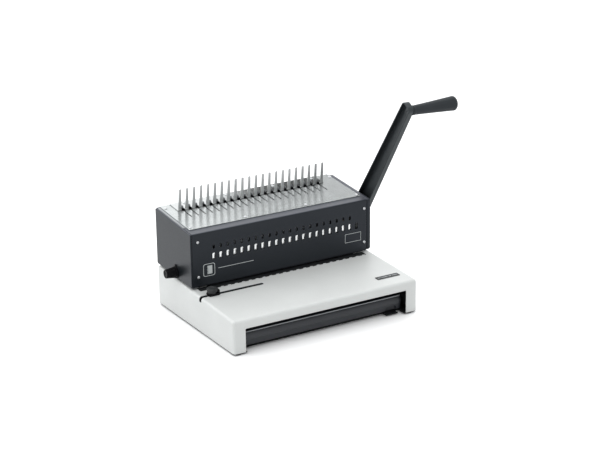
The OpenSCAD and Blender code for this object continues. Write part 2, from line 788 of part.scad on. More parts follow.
// Outline of the case from the side, grown by `grow`
module case_side(grow, r) {
    polygon(rounded(
        [[-grow, case_bottom(0) - grow], [-grow, case_roof(0) + grow],
         [case_d + grow, case_roof(case_d) + grow], [case_d + grow, case_bottom(case_d) - grow]],
        [r, r, r, r]));
}
module left_side_panel() {
    color("#44474d") machine() difference() {
        intersection() {
            along_x(0, side_t) case_side(0, 3);
            linear_extrude(250) polygon(rounded(box_points(0, 0, side_t + 8, case_d), [2.5, 0, 0, 2.5]));
        }
        translate([0, knob_y, knob_z]) rod_x(-1, side_t + 1, 4.4);
    }
}
module right_side_panel() {
    color("#2b2d30") machine() difference() {
        along_x(right_panel_x, cover_x0 - 0.3) case_side(-0.6, 3);
        translate([0, shaft_y, shaft_z]) rod_x(right_panel_x - 1, cover_x0 + 1, shaft_dia / 2 + 1);
        cover_screw_places() cylinder(r = m4_r, h = 24, center = true);
    }
}
// Seats of the sunk cover screws, with Z pointing out
module cover_screw_places() {
    for (p = [[18, 90], [18, 158], [118, 90], [118, 165]])
        translate([cover_x1 - 1, p.x, p.y]) rotate([0, 90, 0]) children();
}
module right_cover() {
    t = 2;
    color("#3a3d42") machine() difference() {
        intersection() {
            along_x(cover_x0, cover_x1) case_side(0.3, 6);
            translate([cover_x0 - 4, 0, 0]) linear_extrude(250)
                polygon(rounded(
                    box_points(0, -0.3, cover_x1 - cover_x0 + 4, case_d + 0.3), [0, 2.5, 2.5, 0]));
        }
        along_x(cover_x0 - 1, cover_x1 - t) case_side(-t, 4);
        translate([0, shaft_y, shaft_z]) rod_x(cover_x0 - 1, cover_x1 + 1, shaft_dia / 2 + 1);
        cover_screw_places() {
            cylinder(r = m4_r + 0.1, h = 20, center = true);
            cylinder(r = head_r + 0.15, h = 5);
        }
    }
}
module cover_screws() {
    color("#a4a7aa") machine() cover_screw_places()
        translate([0, 0, 0.02]) screw_down(8, 0.9);
}
module rear_cover() {
    y1 = case_d - 1;
    y0 = y1 - panel_t;
    color("#2f3336") machine() difference() {
        along_x(side_t + 0.2, right_panel_x - 0.2) polygon([
            [y0, case_bottom(y0) + 0.1], [y1, case_bottom(y1) + 0.1],
            [y1, case_roof(y1) - 0.1], [y0, case_roof(y0) - 0.1]]);
        for (p = rear_screw_at) translate([p.x, 0, p.y]) rod_y(case_d - 12, case_d + 5, m4_r + 0.1);
    }
}
module rear_screws() {
    color("#a4a7aa") machine()
        for (p = rear_screw_at) translate([p.x, case_d - 1 + 0.02, p.y]) rotate([-90, 0, 0]) screw_down(5);
}
// Plain raised marks: a page with a comb edge, a bar, and an outlined box
module case_marks() {
    t = 0.3;
    color("#c9cccd") machine() {
        along_y(-t, -0.01) {
            difference() {
                polygon(round_box(24, 88.5, 47.5, 112, 4));
                polygon(round_box(25, 89.5, 46.5, 111, 3.4));
            }
            difference() {
                polygon(box_points(32, 92.5, 42, 108));
                for (i = [0:4]) polygon(box_points(31, 94 + i * 2.8, 34, 95.2 + i * 2.8));
            }
            polygon(box_points(54, 99.4, 126, 100.4));
            difference() {
                polygon(box_points(321, 94, 356, 111));
                polygon(box_points(321.8, 94.8, 355.2, 110.2));
            }
        }
    }
}

// ---- Sheet stop and its knob ----
module margin_shaft() {
    color("#b9bcbf") machine() translate([0, knob_y, knob_z]) {
        rod_x(6 - knob_len, right_frame_x + frame_t + 2, 4 - 0.001);
        for (x = ecc_x) translate([0, 0, stop_throw]) rod_x(x, x + 6, ecc_r);
    }
}
module margin_knob() {
    flutes = 12;
    color("#1f2021") machine() translate([0, knob_y, knob_z]) difference() {
        union() {
            translate([-knob_len, 0, 0]) rotate([0, 90, 0]) cylinder(r1 = 8, r2 = 8.6, h = 1);
            translate([1 - knob_len, 0, 0]) rotate([0, 90, 0]) cylinder(r1 = 8.6, r2 = 10, h = knob_len - 4);
        }
        for (i = [0:flutes - 1]) rotate([i * 360 / flutes, 0, 0])
            translate([0, 0, 11]) rod_x(-knob_len - 1, -6, 1.9);
        rod_x(6 - knob_len - 0.1, 1, 4);
    }
}
module knob_collar() {
    color("#1f2021") machine() translate([0, knob_y, knob_z]) difference() {
        union() {
            rod_x(-2.6, -0.02, 11.5);
            block([-2.6, -1.8, 0], [-0.02, 1.8, 14.5]);
        }
        rod_x(-4, 1, 4.4);
    }
}
module depth_stop() {
    fork = [knob_y - ecc_r - 6, knob_y - ecc_r - 0.3, knob_y + ecc_r + 0.3, knob_y + ecc_r + 6];
    color("#6f7376") machine() {
        along_x(40, 338) polygon([
            [stop_lip[0], 68.1], [stop_lip[1], 68.1], [stop_lip[1], stop_plate_z[0]],
            [fork[1], stop_plate_z[0]], [fork[1], stop_plate_z[1]], [stop_lip[0], stop_plate_z[1]]]);
        for (x = ecc_x) along_x(x + 1, x + 5) polygon([
            [fork[0], stop_plate_z[0]], [fork[3], stop_plate_z[0] + 1], [fork[3], 96], [fork[2], 96],
            [fork[2], 75.5], [fork[1], 75.5], [fork[1], 96], [fork[0], 96]]);
    }
}

// ---- Lever ----
wall = 2.2;
web = 2.4;
lever_top = lever_len + 10;
lever_bottom = -19;
// How far the lever's middle lies behind the shaft's and the grip's axes
lever_set_back = [1, 5];
grip_bolt_r = 4;

// The lever's tapered outline, shrunk by `less`
module lever_outline(less) {
    w0 = lever_w0 / 2 - less;
    w1 = lever_w1 / 2 - less;
    polygon(rounded(
        [[lever_set_back[0] - w0, lever_bottom + less], [lever_set_back[0] + w0, lever_bottom + less],
         [lever_set_back[1] + w1, lever_top - less], [lever_set_back[1] - w1, lever_top - less]],
        [17 - less, 17 - less, 9 - less, 9 - less], 10));
}

module lever_arm() {
    color("#33383b") machine() lever_place() difference() {
        union() {
            difference() {
                along_x(lever_x0, lever_x1) lever_outline(0);
                along_x(lever_x0 - 1, lever_x1 - web) lever_outline(wall);
            }
            rod_x(lever_x0 + 0.5, lever_x1 - web + eps, 11);
            translate([0, 0, lever_len]) rod_x(lever_x1 - 6, lever_x1 - web + eps, 6.5);
        }
        rod_x(lever_x0 - 1, lever_x1 - 2.5, shaft_dia / 2 + 0.02);
        rod_x(lever_x0, lever_x1 + 1, m4_r + 1.1);
        translate([0, 0, lever_len]) rod_x(lever_x0, lever_x1 + 1, grip_bolt_r + 0.02);
    }
}
module lever_bolt() {
    color("#a4a7aa") machine() lever_place() difference() {
        union() {
            translate([lever_x1 + 0.02, 0, 0]) rod_x(0, 1.2, 8);
            translate([lever_x1 + 1, 0, 0]) rotate([0, 90, 0]) cylinder(r = 6.6, h = 4, $fn = 6);
            rod_x(lever_x1 - 2.5, lever_x1 + 1, 3);
        }
        translate([lever_x1 + 4.2, 0, 0]) rod_x(0, 2, 3);
    }
}
module grip_collar() {
    color("#2a2d2f") machine() lever_place() translate([0, 0, lever_len]) difference() {
        rod_x(lever_x1 + 0.02, grip_x0 - 0.15, 9);
        rod_x(lever_x1 - 1, grip_x0 + 1, grip_bolt_r + 0.02);
    }
}
module grip_bolt() {
    color("#a4a7aa") machine() lever_place() translate([0, 0, lever_len]) {
        rod_x(lever_x1 - 6, grip_x0 + grip_len - 12, grip_bolt_r);
        difference() {
            rod_x(lever_x1 - 8.4, lever_x1 - 6.02, 5.2);
            rod_x(lever_x1 - 9, lever_x1 - 7.4, 2);
        }
        rod_x(lever_x1 - 6.5, lever_x1 - 5.5, grip_bolt_r);
    }
}
// Grip profile: radius against distance, with a small entry lip and a rounded end
module grip_profile() {
    r0 = grip_dia0 / 2;
    r1 = grip_dia1 / 2;
    polygon(rounded(
        [[0, 0], [r0, 0], [r1, grip_len - 6], [r1, grip_len], [0, grip_len]],
        [0, 1.2, 12, 5, 0]));
}
module hand_grip() {
    color("#3c4043") machine() lever_place() translate([grip_x0, 0, lever_len]) difference() {
        rotate([0, 90, 0]) rotate_extrude() grip_profile();
        rod_x(-1, grip_len - 11, grip_bolt_r + running);
    }
}

base_shell();
bottom_plate();
rubber_feet();
foot_screws();
drawer_front();
drawer_tray();
drawer_rails();
entry_strip();
base_label_plate();
edge_guide();
guide_nut();
thumb_knob();
die_plate();
riser_blocks();
riser_screws();
left_frame();
right_frame();
tie_rods();
frame_screws();
front_panel();
front_panel_screws();
left_side_panel();
right_side_panel();
right_cover();
cover_screws();
rear_cover();
rear_screws();
top_plate();
top_plate_screws();
tine_plate();
tine_plate_screws();
hook_slider();
slider_rails();
pin_guide();
upper_guide();
guide_rods();
punch_bar();
punch_pins();
return_springs();
main_shaft();
shaft_bushes();
punch_cranks();
opener_arms();
margin_shaft();
margin_knob();
knob_collar();
depth_stop();
lever_arm();
lever_bolt();
grip_collar();
grip_bolt();
hand_grip();
case_marks();
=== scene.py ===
import json
import math

import bmesh
import bpy
from mathutils import Matrix, Vector


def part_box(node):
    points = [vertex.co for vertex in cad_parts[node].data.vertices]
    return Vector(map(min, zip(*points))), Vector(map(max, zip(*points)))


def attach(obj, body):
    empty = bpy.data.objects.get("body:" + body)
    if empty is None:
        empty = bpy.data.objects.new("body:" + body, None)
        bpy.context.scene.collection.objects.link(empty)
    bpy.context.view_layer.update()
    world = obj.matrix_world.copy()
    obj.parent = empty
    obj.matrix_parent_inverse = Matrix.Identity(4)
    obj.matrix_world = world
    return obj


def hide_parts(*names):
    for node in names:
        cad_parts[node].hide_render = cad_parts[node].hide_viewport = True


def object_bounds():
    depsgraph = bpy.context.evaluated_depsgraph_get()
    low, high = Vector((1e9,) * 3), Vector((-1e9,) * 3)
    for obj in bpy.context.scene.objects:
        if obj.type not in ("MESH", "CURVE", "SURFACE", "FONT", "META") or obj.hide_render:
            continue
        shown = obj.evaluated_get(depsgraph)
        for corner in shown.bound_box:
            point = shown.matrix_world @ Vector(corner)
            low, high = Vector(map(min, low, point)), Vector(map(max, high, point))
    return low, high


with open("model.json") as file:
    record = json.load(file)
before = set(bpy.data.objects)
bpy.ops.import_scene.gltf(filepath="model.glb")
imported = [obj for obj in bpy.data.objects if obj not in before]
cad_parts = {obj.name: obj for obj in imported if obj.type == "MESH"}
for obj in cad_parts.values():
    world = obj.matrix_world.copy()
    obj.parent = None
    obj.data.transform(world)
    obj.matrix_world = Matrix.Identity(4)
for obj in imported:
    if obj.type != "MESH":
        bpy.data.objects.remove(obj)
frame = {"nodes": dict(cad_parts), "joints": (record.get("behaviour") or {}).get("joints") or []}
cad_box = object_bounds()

# ---- Places -------------------------------------------------------------------------------
# Shapes are built in millimetres in the machine's own axes (X = 0 at the case's left face,
# Y = 0 at its front face, Z = 0 at the base shell's bottom edge), then placed in the frame.
MM = 0.001
ORIGIN = Vector((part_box("base_shell")[0][0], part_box("front_panel")[0][1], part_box("base_shell")[0][2]))
PLACE = Matrix.Translation(ORIGIN) @ Matrix.Scale(MM, 4)


def machine(point):
    return (Vector(point) - ORIGIN) / MM


def span(node):
    """Lowest and highest corner of a CAD node in machine millimetres."""
    low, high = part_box(node)
    return machine(low), machine(high)


def joint(name):
    return next(j for j in frame["joints"] if j["name"] == name)


DECK_ANGLE = math.radians(2.6)
ROOF_ANGLE = math.radians(5.17)
BASE_H = 60.0
CASE_TOP = 171.7
PITCH = 14.2875  # of a plastic comb's rings, 9/16 inch
BASE_LO, BASE_HI = span("base_shell")
SHAFT = machine(joint("lever_pull")["pos_m"])
GRIP = machine(joint("grip_spin")["pos_m"])
KNOB = machine(joint("margin_turn")["pos_m"])
LEVER_LEAN = math.atan2(SHAFT.y - GRIP.y, GRIP.z - SHAFT.z)
LEVER_LEN = math.hypot(SHAFT.y - GRIP.y, GRIP.z - SHAFT.z)


def deck_z(y):
    return BASE_H + (y - BASE_LO.y) * math.tan(DECK_ANGLE)


def on_deck(y):
    return Matrix.Translation((0, y, deck_z(y))) @ Matrix.Rotation(DECK_ANGLE, 4, "X")


ON_ROOF = Matrix.Translation((0, 0, CASE_TOP)) @ Matrix.Rotation(ROOF_ANGLE, 4, "X")
ON_LEVER = Matrix.Translation((0, SHAFT.y, SHAFT.z)) @ Matrix.Rotation(LEVER_LEAN, 4, "X")
# Turns a flat outline's X, Y and thickness into the machine's Y, Z and X
SIDEWAYS = Matrix(((0, 0, 1, 0), (1, 0, 0, 0), (0, 1, 0, 0), (0, 0, 0, 1)))
# Turns a flat outline's X, Y and thickness into the machine's X, Z and -Y
UPRIGHT = Matrix(((1, 0, 0, 0), (0, 0, -1, 0), (0, 1, 0, 0), (0, 0, 0, 1)))
# Turns a turned shape's axis (Z) into the machine's X
ALONG_X = Matrix.Rotation(math.radians(90), 4, "Y")


# ---- Outlines -----------------------------------------------------------------------------
def box_points(x0, y0, x1, y1):
    return [Vector((x0, y0)), Vector((x1, y0)), Vector((x1, y1)), Vector((x0, y1))]


def rounded(points, radii, steps=8):
    """Outline whose corners are arcs of the given radii (0 keeps a corner sharp)."""
    result = []
    count = len(points)
    for i, here in enumerate(points):
        radius = radii[i]
        if radius == 0:
            result.append(here)
            continue
        to_last = (points[i - 1] - here).normalized()
        to_next = (points[(i + 1) % count] - here).normalized()
        half = to_last.angle(to_next) / 2
        middle = here + (to_last + to_next).normalized() * radius / math.sin(half)
        start = here + to_last * radius / math.tan(half) - middle
        end = here + to_next * radius / math.tan(half) - middle
        turn = (math.pi - 2 * half) * (1 if start.x * end.y - start.y * end.x > 0 else -1)
        for k in range(steps + 1):
            a = turn * k / steps
            result.append(middle + Vector((start.x * math.cos(a) - start.y * math.sin(a),
                                           start.x * math.sin(a) + start.y * math.cos(a))))
    return result


def circle(x, y, radius, steps=40):
    return [Vector((x + radius * math.cos(a), y + radius * math.sin(a)))
            for a in (2 * math.pi * k / steps for k in range(steps))]


def ordered(points, counter_clockwise):
    area = sum(a.x * b.y - a.y * b.x for a, b in zip(points, points[1:] + points[:1]))
    return list(points) if (area > 0) == counter_clockwise else list(reversed(points))


# ---- Meshes -------------------------------------------------------------------------------
def evaluated(obj):
    mesh = bpy.data.meshes.new_from_object(obj.evaluated_get(bpy.context.evaluated_depsgraph_get()))
    bpy.data.objects.remove(obj)
    return mesh


def temporary(data):
    obj = bpy.data.objects.new("temporary", data)
    bpy.context.scene.collection.objects.link(obj)
    return obj


def slab(outline, z0, z1, edge=0.3, holes=(), steps=2):
    """Plate between z0 and z1 with the outline's shape, its holes and rounded edges."""
    curve = bpy.data.curves.new("slab", "CURVE")
    curve.dimensions = "2D"
    curve.fill_mode = "BOTH"
    curve.extrude = (z1 - z0) / 2 - edge
    curve.bevel_depth = edge
    curve.bevel_resolution = steps
    curve.offset = -edge
    for loop in [ordered(outline, True)] + [ordered(h, False) for h in holes]:
        spline = curve.splines.new("POLY")
        spline.points.add(len(loop) - 1)
        spline.use_cyclic_u = True
        for point, at in zip(spline.points, loop):
            point.co = (at.x, at.y, 0, 1)
    mesh = evaluated(temporary(curve))
    mesh.transform(Matrix.Translation((0, 0, (z0 + z1) / 2)))
    return welded(mesh)


def welded(mesh, distance=1e-4):
    bm = bmesh.new()
    bm.from_mesh(mesh)
    bmesh.ops.remove_doubles(bm, verts=bm.verts, dist=distance)
    bmesh.ops.recalc_face_normals(bm, faces=bm.faces)
    bm.to_mesh(mesh)
    bm.free()
    return mesh


def block(low, high, edge=0.3, steps=2):
    low, high = Vector(low), Vector(high)
    bm = bmesh.new()
    bmesh.ops.create_cube(bm, size=1)
    for v in bm.verts:
        v.co = Vector((a + (c + 0.5) * (b - a) for a, b, c in zip(low, high, v.co)))
    if edge:
        bmesh.ops.bevel(bm, geom=bm.edges[:], offset=edge, segments=steps, profile=0.5, affect="EDGES")
    mesh = bpy.data.meshes.new("block")
    bm.to_mesh(mesh)
    bm.free()
    return mesh


def turned(profile, count=64, ripple=None):
    """Closed body turned about Z. profile is (radius, height) pairs from end to end, or a closed loop
    for a ring; ripple(angle, height) scales the radius."""
    bm = bmesh.new()
    is_ring = tuple(profile[0]) == tuple(profile[-1])
    rings = []
    for radius, height in (profile[:-1] if is_ring else profile):
        if radius < 1e-6:
            rings.append([bm.verts.new((0, 0, height))])
            continue
        ring = []
        for k in range(count):
            a = 2 * math.pi * k / count
            r = radius * (ripple(a, height) if ripple else 1)
            ring.append(bm.verts.new((r * math.cos(a), r * math.sin(a), height)))
        rings.append(ring)
    for lower, upper in zip(rings, rings[1:] + (rings[:1] if is_ring else [])):
        for k in range(count):
            n = (k + 1) % count
            corners = [lower[k % len(lower)], lower[n % len(lower)],
                       upper[n % len(upper)], upper[k % len(upper)]]
            face = list(dict.fromkeys(corners))
            if len(face) > 2:
                bm.faces.new(face)
    for ring in (rings[0], rings[-1]):
        if len(ring) > 1 and not is_ring:
            bm.faces.new(ring)
    bmesh.ops.recalc_face_normals(bm, faces=bm.faces)
    mesh = bpy.data.meshes.new("turned")
    bm.to_mesh(mesh)
    bm.free()
    return mesh


def arc_points(centre, radius, start, end, steps=6):
    """Points on an arc, as (radius, height) pairs, from start to end in degrees."""
    angles = [math.radians(start + (end - start) * k / steps) for k in range(steps + 1)]
    return [(centre[0] + radius * math.cos(a), centre[1] + radius * math.sin(a)) for a in angles]


def moved(mesh, matrix):
    mesh.transform(matrix)
    return mesh


def joined(*meshes):
    bm = bmesh.new()
    for mesh in meshes:
        bm.from_mesh(mesh)
    result = bpy.data.meshes.new("joined")
    bm.to_mesh(result)
    bm.free()
    return result


def combined(mesh, other, operation):
    """Exact boolean of two closed meshes."""
    target = temporary(mesh)
    tool = temporary(other)
    modifier = target.modifiers.new("boolean", "BOOLEAN")
    modifier.operation = operation
    modifier.solver = "EXACT"
    modifier.object = tool
    result = evaluated(target)
    bpy.data.objects.remove(tool)
    return result


def cut(mesh, *tools):
    return combined(mesh, joined(*tools), "DIFFERENCE")


def fused(mesh, *others):
    for other in others:
        mesh = combined(mesh, other, "UNION")
    return mesh


def islands(node):
    """Separate solids of a CAD node, each a list of points in machine millimetres."""
    bm = bmesh.new()
    bm.from_mesh(frame["nodes"][node].data)
    bmesh.ops.remove_doubles(bm, verts=bm.verts, dist=1e-6)
    seen = set()
    groups = []
    for start in bm.verts:
        if start in seen:
            continue
        seen.add(start)
        stack = [start]
        group = []
        while stack:
            vert = stack.pop()
            group.append(machine(vert.co))
            for edge in vert.link_edges:
                far = edge.other_vert(vert)
                if far not in seen:
                    seen.add(far)
                    stack.append(far)
        groups.append(group)
    bm.free()
    return groups


def piece(name, mesh, body, material, nodes, matrix=None, smooth=40):
    """Puts a finished mesh in the scene on its body, in place of the CAD nodes."""
    if matrix is not None:
        mesh.transform(matrix)
    mesh.transform(PLACE)
    mesh.name = name
    mesh.shade_smooth()
    mesh.set_sharp_from_angle(angle=math.radians(smooth))
    if material is not None:
        mesh.materials.clear()
        mesh.materials.append(material)
    obj = bpy.data.objects.new(name, mesh)
    bpy.context.scene.collection.objects.link(obj)
    normals = obj.modifiers.new("flat faces stay flat", "WEIGHTED_NORMAL")
    normals.keep_sharp = True
    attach(obj, body)
    if nodes:
        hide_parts(*nodes)
    return obj


# ---- Materials ----------------------------------------------------------------------------
class Shader:
    """One node material: small methods add and join its nodes."""

    def __init__(self, name):
        self.material = bpy.data.materials.new(name)
        self.material.use_nodes = True
        self.tree = self.material.node_tree
        self.tree.nodes.clear()
        self.surface = self.node("ShaderNodeBsdfPrincipled")
        output = self.node("ShaderNodeOutputMaterial")
        self.join(self.surface.outputs["BSDF"], output.inputs["Surface"])
        self.place = self.node("ShaderNodeTexCoord").outputs["Object"]

    def node(self, kind, **settings):
        made = self.tree.nodes.new(kind)
        for key, value in settings.items():
            setattr(made, key, value)
        return made

    def join(self, source, target):
        self.tree.links.new(source, target)

    def set(self, key, value):
        if hasattr(value, "is_output"):
            self.join(value, self.surface.inputs[key])
        else:
            self.surface.inputs[key].default_value = value

    def noise(self, size_mm, detail=3.0, stretch=(1, 1, 1), roughness=0.5):
        """Noise whose grains are about size_mm across."""
        scale = self.node("ShaderNodeMapping")
        scale.inputs["Scale"].default_value = [s / (size_mm * MM) for s in stretch]
        self.join(self.place, scale.inputs["Vector"])
        noise = self.node("ShaderNodeTexNoise")
        noise.inputs["Scale"].default_value = 1.0
        noise.inputs["Detail"].default_value = detail
        noise.inputs["Roughness"].default_value = roughness
        self.join(scale.outputs["Vector"], noise.inputs["Vector"])
        return noise.outputs["Fac"]

    def ramp(self, value, low, high, out_low=0.0, out_high=1.0):
        span = self.node("ShaderNodeMapRange")
        for key, number in zip(("From Min", "From Max", "To Min", "To Max"), (low, high, out_low, out_high)):
            span.inputs[key].default_value = number
        self.join(value, span.inputs["Value"])
        return span.outputs["Result"]

    def math(self, operation, a, b):
        made = self.node("ShaderNodeMath", operation=operation)
        for socket, value in zip(made.inputs, (a, b)):
            if hasattr(value, "is_output"):
                self.join(value, socket)
            else:
                socket.default_value = value
        return made.outputs[0]

    def mix(self, factor, a, b):
        made = self.node("ShaderNodeMix", data_type="RGBA")
        for key, value in (("Factor", factor), ("A", a), ("B", b)):
            socket = next(s for s in made.inputs if s.name == key and
                          s.type == ("VALUE" if key == "Factor" else "RGBA"))
            if hasattr(value, "is_output"):
                self.join(value, socket)
            else:
                socket.default_value = value if key == "Factor" else (*value, 1)
        return next(s for s in made.outputs if s.type == "RGBA")

    def edges(self, radius_mm, gain=6.0):
        """1 along sharp edges, 0 on flat faces, and a normal that rounds those edges."""
        bevel = self.node("ShaderNodeBevel", samples=4)
        bevel.inputs["Radius"].default_value = radius_mm * MM
        true_normal = self.node("ShaderNodeNewGeometry").outputs["Normal"]
        dot = self.node("ShaderNodeVectorMath", operation="DOT_PRODUCT")
        self.join(bevel.outputs["Normal"], dot.inputs[0])
        self.join(true_normal, dot.inputs[1])
        wear = self.math("MULTIPLY", self.math("SUBTRACT", 1.0, dot.outputs["Value"]), gain)
        return self.math("MINIMUM", wear, 1.0), bevel.outputs["Normal"]

    def bump(self, height, depth_mm, normal=None, strength=1.0):
        bump = self.node("ShaderNodeBump")
        bump.inputs["Strength"].default_value = strength
        bump.inputs["Distance"].default_value = depth_mm * MM
        self.join(height, bump.inputs["Height"])
        if normal is not None:
            self.join(normal, bump.inputs["Normal"])
        return bump.outputs["Normal"]


def tint(color, factor):
    return tuple(min(1.0, c * factor) for c in color)


def painted(name, color, rough=0.42, grain=0.35, depth=0.010, worn=None, wear=0.35, edge=0.35, gloss=0.5,
            sheen_tint=(1, 1, 1), painted_top_sheen=None):
    """Powder-coated or sprayed sheet metal: fine orange peel, slight colour drift, lighter worn edges.
    The colour given for faces that look up is a painted sheen, standing in for the overhead light those faces
    reflect."""
    s = Shader(name)
    drift = s.ramp(s.noise(60, 2), 0.3, 0.7)
    body = s.mix(drift, tint(color, 0.965), tint(color, 1.03))
    speck = s.ramp(s.noise(grain * 2.2, 2), 0.35, 0.75)
    body = s.mix(s.math("MULTIPLY", speck, 0.5), body, tint(color, 0.93))
    # painted sheen: faces that look up are mixed towards a lighter colour, standing in for the overhead light
    # they reflect
    if painted_top_sheen:
        axes = s.node("ShaderNodeSeparateXYZ")
        s.join(s.node("ShaderNodeNewGeometry").outputs["Normal"], axes.inputs[0])
        body = s.mix(s.ramp(axes.outputs["Z"], 0.55, 0.9), body, painted_top_sheen)
    mask, normal = s.edges(edge)
    broken = s.math("MULTIPLY", mask, s.ramp(s.noise(4, 4), 0.42, 0.62, 0.25, 1.0))
    s.set("Base Color", s.mix(s.math("MULTIPLY", broken, wear), body, worn or tint(color, 1.6)))
    s.set("Roughness", s.ramp(s.noise(grain * 5, 3), 0.3, 0.7, rough - 0.04, rough + 0.05))
    s.set("Specular IOR Level", gloss)
    s.set("Specular Tint", (*sheen_tint, 1))
    s.set("Normal", s.bump(s.noise(grain, 2), depth, normal))
    return s.material


def plastic(name, color, rough=0.45, grain=0.25, depth=0.012, edge=0.3, wear=0.3, gloss=0.5):
    """Moulded plastic: spark-eroded grain, soft sheen changes, slightly polished edges."""
    s = Shader(name)
    drift = s.ramp(s.noise(25, 2), 0.3, 0.7)
    body = s.mix(drift, tint(color, 0.92), tint(color, 1.08))
    mask, normal = s.edges(edge)
    s.set("Base Color", s.mix(s.math("MULTIPLY", mask, wear), body, tint(color, 1.9)))
    s.set("Roughness", s.math("SUBTRACT", s.ramp(s.noise(3, 3), 0.3, 0.7, rough - 0.05, rough + 0.06),
                              s.math("MULTIPLY", mask, 0.1)))
    s.set("Specular IOR Level", gloss)
    s.set("Normal", s.bump(s.noise(grain, 1.5), depth, normal))
    return s.material


def steel(name, color, rough=0.3, brush=(1, 1, 1), line_mm=0.25, depth=0.004, metallic=1.0,
          anisotropic=0.0, drift_mm=18, edge=0.25):
    """Steel with a brushed or ground grain; brush stretches the grain along an axis."""
    s = Shader(name)
    lines = s.noise(line_mm, 4, brush, 0.65)
    broad = s.ramp(s.noise(drift_mm, 3), 0.3, 0.7)
    body = s.mix(broad, tint(color, 0.95), tint(color, 1.03))
    body = s.mix(s.ramp(lines, 0.35, 0.7, 0.0, 0.35), body, tint(color, 0.86))
    mask, normal = s.edges(edge, 4.0)
    s.set("Base Color", s.mix(s.math("MULTIPLY", mask, 0.35), body, tint(color, 1.15)))
    s.set("Metallic", metallic)
    s.set("Roughness", s.ramp(lines, 0.3, 0.7, rough - 0.05, rough + 0.07))
    s.set("Anisotropic", anisotropic)
    if anisotropic:
        tangent = s.node("ShaderNodeCombineXYZ")
        tangent.inputs["Y"].default_value = 1.0
        s.join(tangent.outputs[0], s.surface.inputs["Tangent"])
    s.set("Normal", s.bump(lines, depth, normal))
    return s.material


def rubber(name, color):
    s = Shader(name)
    s.set("Base Color", s.mix(s.ramp(s.noise(6, 3), 0.3, 0.7), tint(color, 0.8), tint(color, 1.25)))
    s.set("Roughness", s.ramp(s.noise(2, 3), 0.3, 0.7, 0.7, 0.85))
    s.set("Normal", s.bump(s.noise(0.4, 2), 0.02))
    return s.material


MATERIALS = {
    "base_paint": painted("base_paint", (0.445, 0.455, 0.449), rough=0.40, grain=0.5, depth=0.012,
                          worn=(0.60, 0.61, 0.60), wear=0.5, gloss=0.4),
    # dark inside colour: in part a guessed dark primer, in part painted shade, so the base's openings look
    # shaded inside
    "inner_primer_and_shade": painted("inner_primer_and_shade", (0.050, 0.053, 0.058), rough=0.6, gloss=0.2),
    # the case's lighter colour on faces that look up is a painted sheen, standing in for the light its
    # flanges reflect
    "case_paint": painted("case_paint", (0.0045, 0.0058, 0.0068), rough=0.34, grain=0.4, depth=0.010,
                          worn=(0.05, 0.055, 0.06), wear=0.3, gloss=0.295, sheen_tint=(0.80, 0.86, 1.0),
                          painted_top_sheen=(0.050, 0.053, 0.063)),
    "lever_paint": painted("lever_paint", (0.008, 0.010, 0.011), rough=0.48, grain=0.4, depth=0.014,
                           worn=(0.06, 0.065, 0.07), wear=0.4, gloss=0.45, sheen_tint=(0.85, 0.93, 1.0)),
    "dark_sheet": painted("dark_sheet", (0.008, 0.009, 0.010), rough=0.6, worn=(0.10, 0.10, 0.11), gloss=0.2),
    "drawer_plastic": plastic("drawer_plastic", (0.016, 0.018, 0.022), rough=0.40, wear=0.6, gloss=0.37),
    # painted highlight: a lighter plastic for the drawer front's top edge, standing in for the bright line of
    # light along it
    "drawer_lip_highlight": plastic("drawer_lip_highlight", (0.20, 0.21, 0.22), rough=0.35),
    "black_plastic": plastic("black_plastic", (0.003, 0.003, 0.0035), rough=0.30, wear=0.6, gloss=0.07),
    "knob_plastic": plastic("knob_plastic", (0.014, 0.015, 0.016), rough=0.36, wear=1.0, gloss=0.36),
    "grip_plastic": plastic("grip_plastic", (0.018, 0.021, 0.024), rough=0.5, grain=0.4, depth=0.02,
                            gloss=0.13),
    "label_plastic": plastic("label_plastic", (0.014, 0.016, 0.017), rough=0.4, gloss=0.2),
    "top_steel": steel("top_steel", (0.36, 0.375, 0.375), rough=0.22, brush=(0.012, 1, 1), line_mm=0.35,
                       anisotropic=0.8),
    "tine_steel": steel("tine_steel", (0.37, 0.38, 0.38), rough=0.10, brush=(1, 1, 0.02), line_mm=0.3,
                        depth=0.0004),
    "tine_faces": steel("tine_faces", (0.57, 0.58, 0.58), rough=0.30, brush=(1, 1, 0.02), line_mm=0.3),
    "bright_steel": steel("bright_steel", (0.92, 0.93, 0.93), rough=0.34, brush=(1, 1, 0.03), metallic=0.75),
    "plain_steel": steel("plain_steel", (0.30, 0.31, 0.32), rough=0.38, brush=(0.05, 1, 1), line_mm=0.5),
    # dark steel for the hooks, made darker in part as painted shade, so the openings they stand in look dark
    "hook_steel_and_shade": steel("hook_steel_and_shade", (0.10, 0.105, 0.11), rough=0.3, brush=(1, 0.05, 1)),
    "screw_steel": steel("screw_steel", (0.52, 0.53, 0.54), rough=0.24, line_mm=0.3, drift_mm=3),
    "bronze": steel("bronze", (0.40, 0.26, 0.11), rough=0.42, line_mm=0.2, drift_mm=4),
    "rubber": rubber("rubber", (0.014, 0.0135, 0.014)),
    "mark_print": painted("mark_print", (0.32, 0.34, 0.34), rough=0.5, grain=0.2, depth=0.003, wear=0.0),
}

CAD_FINISH = {
    "case_paint": ("front_panel", "rear_cover", "right_side_panel"),
    "dark_sheet": ("bottom_plate", "riser_blocks", "drawer_rails", "drawer_tray", "die_plate"),
    "top_steel": ("top_plate",),
    "hook_steel_and_shade": ("hook_slider",),
    "plain_steel": ("left_frame", "right_frame", "tie_rods", "slider_rails", "pin_guide",
                    "upper_guide", "punch_bar", "return_springs", "punch_cranks", "opener_arms",
                    "depth_stop", "guide_nut"),
    "bright_steel": ("guide_rods", "main_shaft", "margin_shaft"),
    "screw_steel": ("foot_screws", "riser_screws", "frame_screws"),
    "bronze": ("shaft_bushes",),
    "mark_print": ("case_marks",),
}


